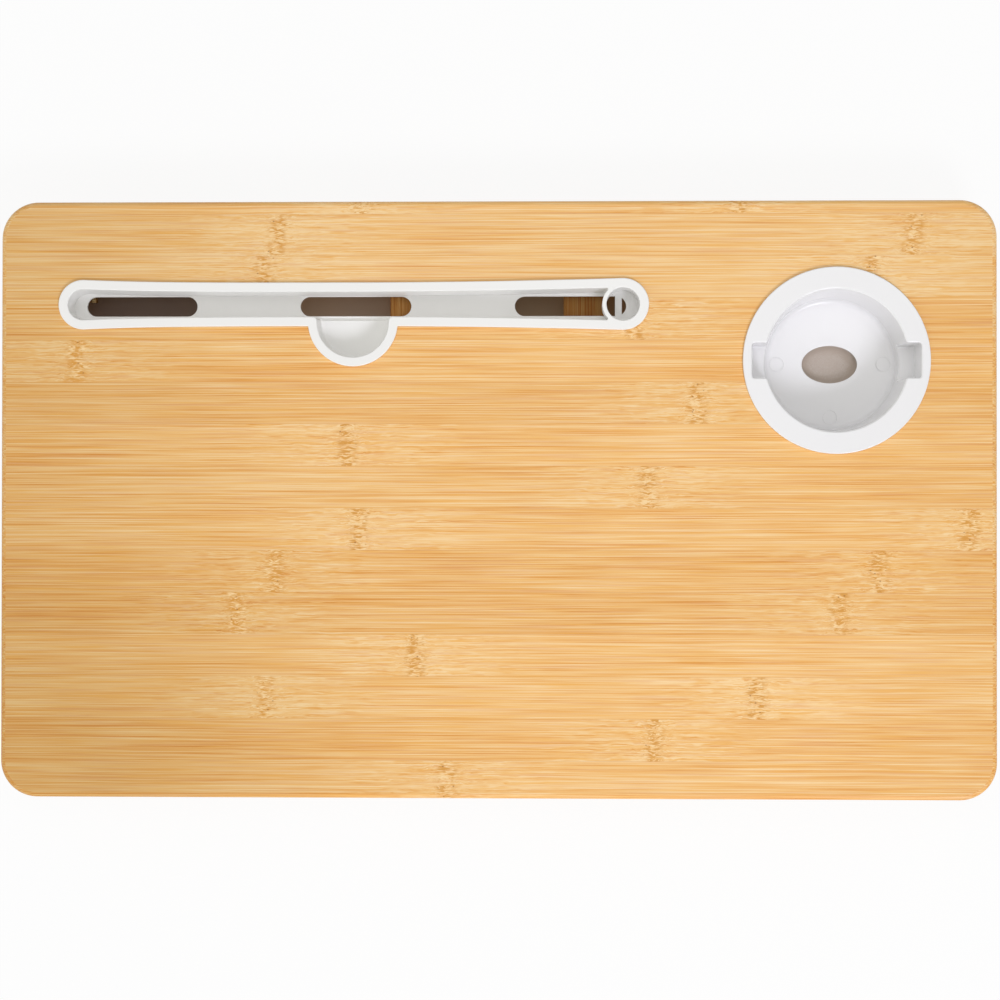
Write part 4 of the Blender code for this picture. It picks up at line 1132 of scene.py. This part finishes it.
def leg_wood(end, inward):
    """Posts and crossbar of one leg, with their holes."""
    for place, side in PLACES:
        post(end, inward, place, side)
    node = f"{end}_leg_crossbar"
    low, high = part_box(node)
    piece = make(f"bamboo_{node}", slab(low, high, WOOD_EDGE))
    removed = []
    for screw in screw_nodes(node):
        screw_low, screw_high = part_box(screw)
        span = (screw_low.y - HOLE_GAP, high.y + OVERSHOOT)
        if screw_low.y < 0:
            span = (low.y - OVERSHOOT, screw_high.y + HOLE_GAP)
        removed.append(hole(screw, *span, SHAFT_HOLE))
    carve(piece, removed)
    dress(piece, CROSSBARS[end], f"{end}_leg", node)


# ---- Fasteners and feet


def hexagon(radius, low, high):
    """Bmesh of a hexagonal prism along Z."""
    return rod(Matrix.Translation((0, 0, (low + high) / 2)), radius, high - low, 6)


def place_copies(mesh_name, solid, material, placed):
    """One mesh shared by pieces, given as (name, matrix, body, node)."""
    solid.data.name = mesh_name
    for number, (name, matrix, body, node) in enumerate(placed):
        piece = new_object(name, solid.data) if number else solid
        piece.name = name
        piece.matrix_world = matrix
        dress(piece, material, body, node)


def pan_head_screw(name, length, head_radius):
    """Pan-head wood screw along Z, its head's face at height 0 and its point at height length."""
    dome = arc((head_radius - SCREW_DOME, SCREW_DOME), SCREW_DOME, 0, -SCREW_DOME_TURN, 6)
    profile = [
        (0, 0), (SCREW_FACE * head_radius, 0), *reversed(dome),
        (head_radius, SCREW_HEAD), (SCREW_RADIUS + SCREW_NECK, SCREW_HEAD),
        (SCREW_RADIUS, SCREW_HEAD + SCREW_FILLET), (SCREW_RADIUS, length - SCREW_POINT), (0, length),
    ]
    piece = make(name, turned(profile, 32))
    recess = []
    for turn in (0, math.pi / 2):
        wing = bmesh.new()
        bmesh.ops.create_cube(wing, size=1)
        for vert in wing.verts:
            across, width, height = RECESS_FOOT if vert.co.z > 0 else RECESS_MOUTH
            vert.co = (vert.co.x * across, vert.co.y * width, height)
        recess.append(moved(wing, Matrix.Rotation(turn, 4, "Z")))
    return carve(piece, recess)


def screws():
    """All the wood screws: upright ones in the apron, and ones along Y in the crossbars' ends."""
    crossbar_screws = screw_nodes("left_leg_crossbar") + screw_nodes("right_leg_crossbar")
    for name, nodes, axis in (("apron_screw", APRON_SCREWS, 2), ("crossbar_screw", crossbar_screws, 1)):
        low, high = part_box(nodes[0])
        solid = pan_head_screw(name, high[axis] - low[axis], (high.x - low.x) / 2)
        placed = []
        for index, node in enumerate(nodes):
            at, body = centre_of(node), "root"
            side = 1 if at.y > 0 else -1
            if name == "apron_screw":
                at.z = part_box(node)[0].z
                turn = Matrix.Rotation(0.5 + 1.3 * index, 4, "Z")
            else:
                at.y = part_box(node)[side > 0].y
                turn = Matrix.Rotation(side * math.pi / 2, 4, "X") @ Matrix.Rotation(0.9 * index, 4, "Z")
                body = node[: node.index("_crossbar")]
            placed.append((f"zinc_{node}", Matrix.Translation(at) @ turn, body, node))
        place_copies(name, solid, ZINC, placed)


def pivot_bolt(name):
    """Bolt along Z with a threaded tip, a shoulder, and a domed head with a hexagonal socket."""
    low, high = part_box(f"{name}_front_left")
    length, head_radius = high.y - low.y, (high.x - low.x) / 2
    seat = high.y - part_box("front_rail")[0].y + HOLE_GAP
    profile = [(0, BOLT_SHOULDER), (BOLT_RADIUS, BOLT_SHOULDER), (BOLT_RADIUS, seat), (head_radius, seat)]
    for angle in between(4, BOLT_DOME, 8):
        rise = math.sin(math.radians(angle)) / math.sin(math.radians(BOLT_DOME))
        profile.append((head_radius * math.cos(math.radians(angle)), seat + (length - seat) * rise))
    solid = make(name, turned(profile + [(0, length)]))
    tip = threaded(BOLT_RADIUS - THREAD_INSET, THREAD_DEPTH, 0, BOLT_SHOULDER + THREAD_RUN_IN)
    socket = hexagon(SOCKET_FLATS / math.sqrt(3), length - SOCKET_DEPTH, length + SOCKET_DEPTH)
    return carve(solid, [socket], [tip])


def washer(name):
    """Flat washer along Z with a softened outer rim."""
    low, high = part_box(f"{name}_front_left")
    outer, thick = (high.x - low.x) / 2, high.y - low.y
    ring = [(BOLT_HOLE, 0), (outer - WASHER_RIM, 0), (outer, WASHER_RIM), (outer, thick - WASHER_RIM)]
    ring += [(outer - WASHER_RIM, thick), (BOLT_HOLE, thick), (BOLT_HOLE, 0)]
    return make(name, turned(ring))


def lock_nut(name):
    """Hexagonal nut along Z with chamfered corners and a round collar."""
    low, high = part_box(f"{name}_front_left")
    top = high.y - low.y
    foot = top - NUT_HEX
    reach, face = NUT_FLATS / math.sqrt(3), NUT_FLATS / 2 - NUT_FACE_INSET
    past = reach + NUT_CONE_RUN
    cone = [(0, foot), (face, foot), (past, foot + NUT_CHAMFER)]
    cone += [(past, top - NUT_CHAMFER), (face, top), (0, top)]
    solid = make(name, moved(hexagon(reach, foot, top), Matrix.Rotation(math.pi / 6, 4, "Z")))
    collar = [(0, foot + MM), (NUT_COLLAR, foot + MM)]
    collar += arc((NUT_COLLAR - NUT_ROUND, NUT_ROUND), NUT_ROUND, 0, -90, 5) + [(0, 0)]
    bore = rod(Matrix.Translation((0, 0, top / 2)), BOLT_HOLE, top + 2 * OVERSHOOT)
    return carve(solid, [bore], [turned(collar)], [turned(cone)])


def pivots():
    """Bolts, washers and lock nuts of the four pivots, each set outwards from its inner face."""
    kinds = (
        ("pivot_bolt", pivot_bolt, ZINC, "zinc_steel"),
        ("spacer_washer", washer, NYLON, "nylon"),
        ("inner_washer", washer, ZINC, "zinc_steel"),
        ("lock_nut", lock_nut, ZINC, "zinc_steel"),
    )
    for kind, build, material, slot in kinds:
        placed = []
        for end, _ in ENDS:
            for place, side in PLACES:
                node = f"{kind}_{place}_{end}"
                at = centre_of(f"pivot_bolt_{place}_{end}")
                middle = Matrix.Translation((at.x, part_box(node)[side < 0].y, at.z))
                matrix = middle @ Matrix.Rotation(-side * math.pi / 2, 4, "X")
                placed.append((f"fitted_{node}", matrix, "root", node))
        place_copies(kind, build(kind), material, placed)


def foot_pads():
    """Rubber pads with three grooves, on the slanted ends of the posts."""
    for end, inward in ENDS:
        for place, _ in PLACES:
            node = f"{end}_leg_{place}_foot_pad"
            low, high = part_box(node)
            length = (high.z - low.z - PAD_THICKNESS * math.sin(SPLAY)) / math.cos(SPLAY)
            half = Vector((PAD_THICKNESS, high.y - low.y, length)) / 2
            turn = Matrix.Translation((low + high) / 2) @ Matrix.Rotation(-inward * SPLAY, 4, "Y")
            piece = make(f"rubber_{node}", moved(slab(-half, half, PAD_EDGE), turn))
            near, far = sorted((inward * (half.x - PAD_EDGE), inward * (half.x + MM)))
            grooves = []
            for step in (-1, 0, 1):
                middle = step * PAD_GROOVE_PITCH
                groove_low = Vector((near, low.y - high.y, middle - PAD_GROOVE / 2))
                groove = slab(groove_low, Vector((far, high.y - low.y, middle + PAD_GROOVE / 2)))
                grooves.append(moved(groove, turn))
            carve(piece, grooves)
            dress(piece, RUBBER, f"{end}_leg", node)


# ---- Stage, light and camera


def ray_share(tree):
    """1 for rays from the camera, off gloss or through glass, and 0 for the rays that light the object."""
    path = tree.node("ShaderNodeLightPath")
    kinds = [Signal(tree, path.outputs[f"Is {kind} Ray"]) for kind in ("Camera", "Glossy", "Transmission")]
    return kinds[0].most(kinds[1]).most(kinds[2])


def floor_material():
    """Paper that is white in the open and has painted shade under the table, seen through its holes, and is
    seen from above only.
    """
    material = bpy.data.materials.new("floor")
    tree = Tree(material)
    tree.nodes.clear()
    x, y = rest_millimetres(tree)[:2]
    apron_low, apron_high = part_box("front_rail")
    beside = (x.size() - apron_high.x / MM).most(y.size() + apron_low.y / MM).fade(-4, 4)
    open_sky = tree.fill(tree.node("ShaderNodeAmbientOcclusion", samples=8), Distance=SHELTER_REACH)
    shelter = Signal(tree, open_sky.outputs["AO"])
    # Painted shade: the paper turns to these darker colours where the table shelters it
    painted_shade = PAINTED_SHADE_PAPER[0]
    for fade, colour in zip(PAINTED_SHADE_FADES, PAINTED_SHADE_PAPER[1:]):
        painted_shade = tree.mix(x.fade(*fade), painted_shade, colour)
    paper = tree.fill(tree.node("ShaderNodeBsdfDiffuse"), Color=(1, 1, 1, 1))
    tree.put(paper.inputs["Color"], tree.mix(shelter.fade(0.45, 0.7).most(beside), painted_shade, OPEN_PAPER))
    glow = tree.fill(tree.node("ShaderNodeEmission"), Color=(1, 1, 1, 1), Strength=1.0)
    seen = ray_share(tree)
    back = Signal(tree, tree.node("ShaderNodeNewGeometry").outputs["Backfacing"])
    # Light from below reaches the table's underside, and no horizon shows far out
    gone = back.most((1 - beside) * (1 - seen)).most(x.size().most(y.size()).fade(*HORIZON) * seen)
    clear = seen * beside.most(shelter.fade(0.55, 0.85)) * 0.9
    surface = paper.outputs[0]
    for share, other in ((clear, glow), (gone, tree.node("ShaderNodeBsdfTransparent"))):
        blend = tree.node("ShaderNodeMixShader")
        for socket, value in zip(blend.inputs, (share, surface, other.outputs[0])):
            tree.put(socket, value)
        surface = blend.outputs[0]
    tree.put(tree.node("ShaderNodeOutputMaterial").inputs["Surface"], surface)
    return material


def stage_floor():
    """Floor that keeps the shadow and sinks with unfolded feet."""
    bm = bmesh.new()
    bmesh.ops.create_grid(bm, x_segments=1, y_segments=1, size=FLOOR_HALF)
    floor = make("floor", bm)
    floor.location.z = -FLOOR_DROP
    floor.data.materials.append(floor_material())
    for end, inward in ENDS:
        sole = new_object(f"{end}_sole", None)
        sole.location = (centre_of(f"pivot_bolt_front_{end}").x + inward * LEG_REACH, 0, 0)
        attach(sole, f"{end}_leg")
        keep_under = floor.constraints.new("FLOOR")
        keep_under.target = sole
        keep_under.floor_location = "FLOOR_NEGATIVE_Z"


def world():
    """Light from all round, stronger from the left and the front and weaker from below, and seen as white."""
    scene_world = bpy.data.worlds.new("studio")
    bpy.context.scene.world = scene_world
    tree = Tree(scene_world)
    background = tree.nodes["Background"]
    x, y, z = coordinates(tree, "Generated")
    below = WORLD_BELOW + z.fade(-0.15, 0) * (1 - WORLD_BELOW)
    light = (1 - x * WORLD_LEAN[0] - y * WORLD_LEAN[1]) * below * WORLD_LIGHT
    seen = ray_share(tree)
    tree.put(background.inputs["Color"], tree.mix(seen, (*WORLD_COLOUR, 1), (1, 1, 1, 1)))
    tree.put(background.inputs["Strength"], seen + (1 - seen) * light)


def lamp(name, share, size, place, colour):
    """Round soft lamp that gives the board's middle a share of the light that shows a colour as written."""
    data = bpy.data.lights.new(name, "AREA")
    data.shape = "DISK"
    data.size = size
    path = Vector(place)
    distance = path.length
    half = size / 2
    data.color = colour
    data.energy = share / colour[0] * math.pi**2 * (distance**2 + half**2) * distance / path.z
    piece = new_object(name, data)
    piece.location = place
    piece.rotation_mode = "QUATERNION"
    piece.rotation_quaternion = path.to_track_quat("Z", "Y")


def camera():
    """Camera above the table, a little to the right of its middle and tilted back towards it."""
    data = bpy.data.cameras.new("camera")
    data.sensor_width = 36
    data.lens = CAMERA_LENS
    data.clip_start, data.clip_end = 0.05, 50
    piece = new_object("camera", data)
    piece.location = CAMERA_PLACE
    piece.rotation_euler = [math.radians(angle) for angle in CAMERA_TILT]
    bpy.context.scene.camera = piece


board()
slot_insert()
cup_insert()
rails()
for leg in ENDS:
    leg_wood(*leg)
screws()
pivots()
foot_pads()
stage_floor()
world()
for entry in LAMPS:
    lamp(*entry)
camera()
bpy.context.scene.view_settings.view_transform = "Standard"
bpy.context.view_layer.update()
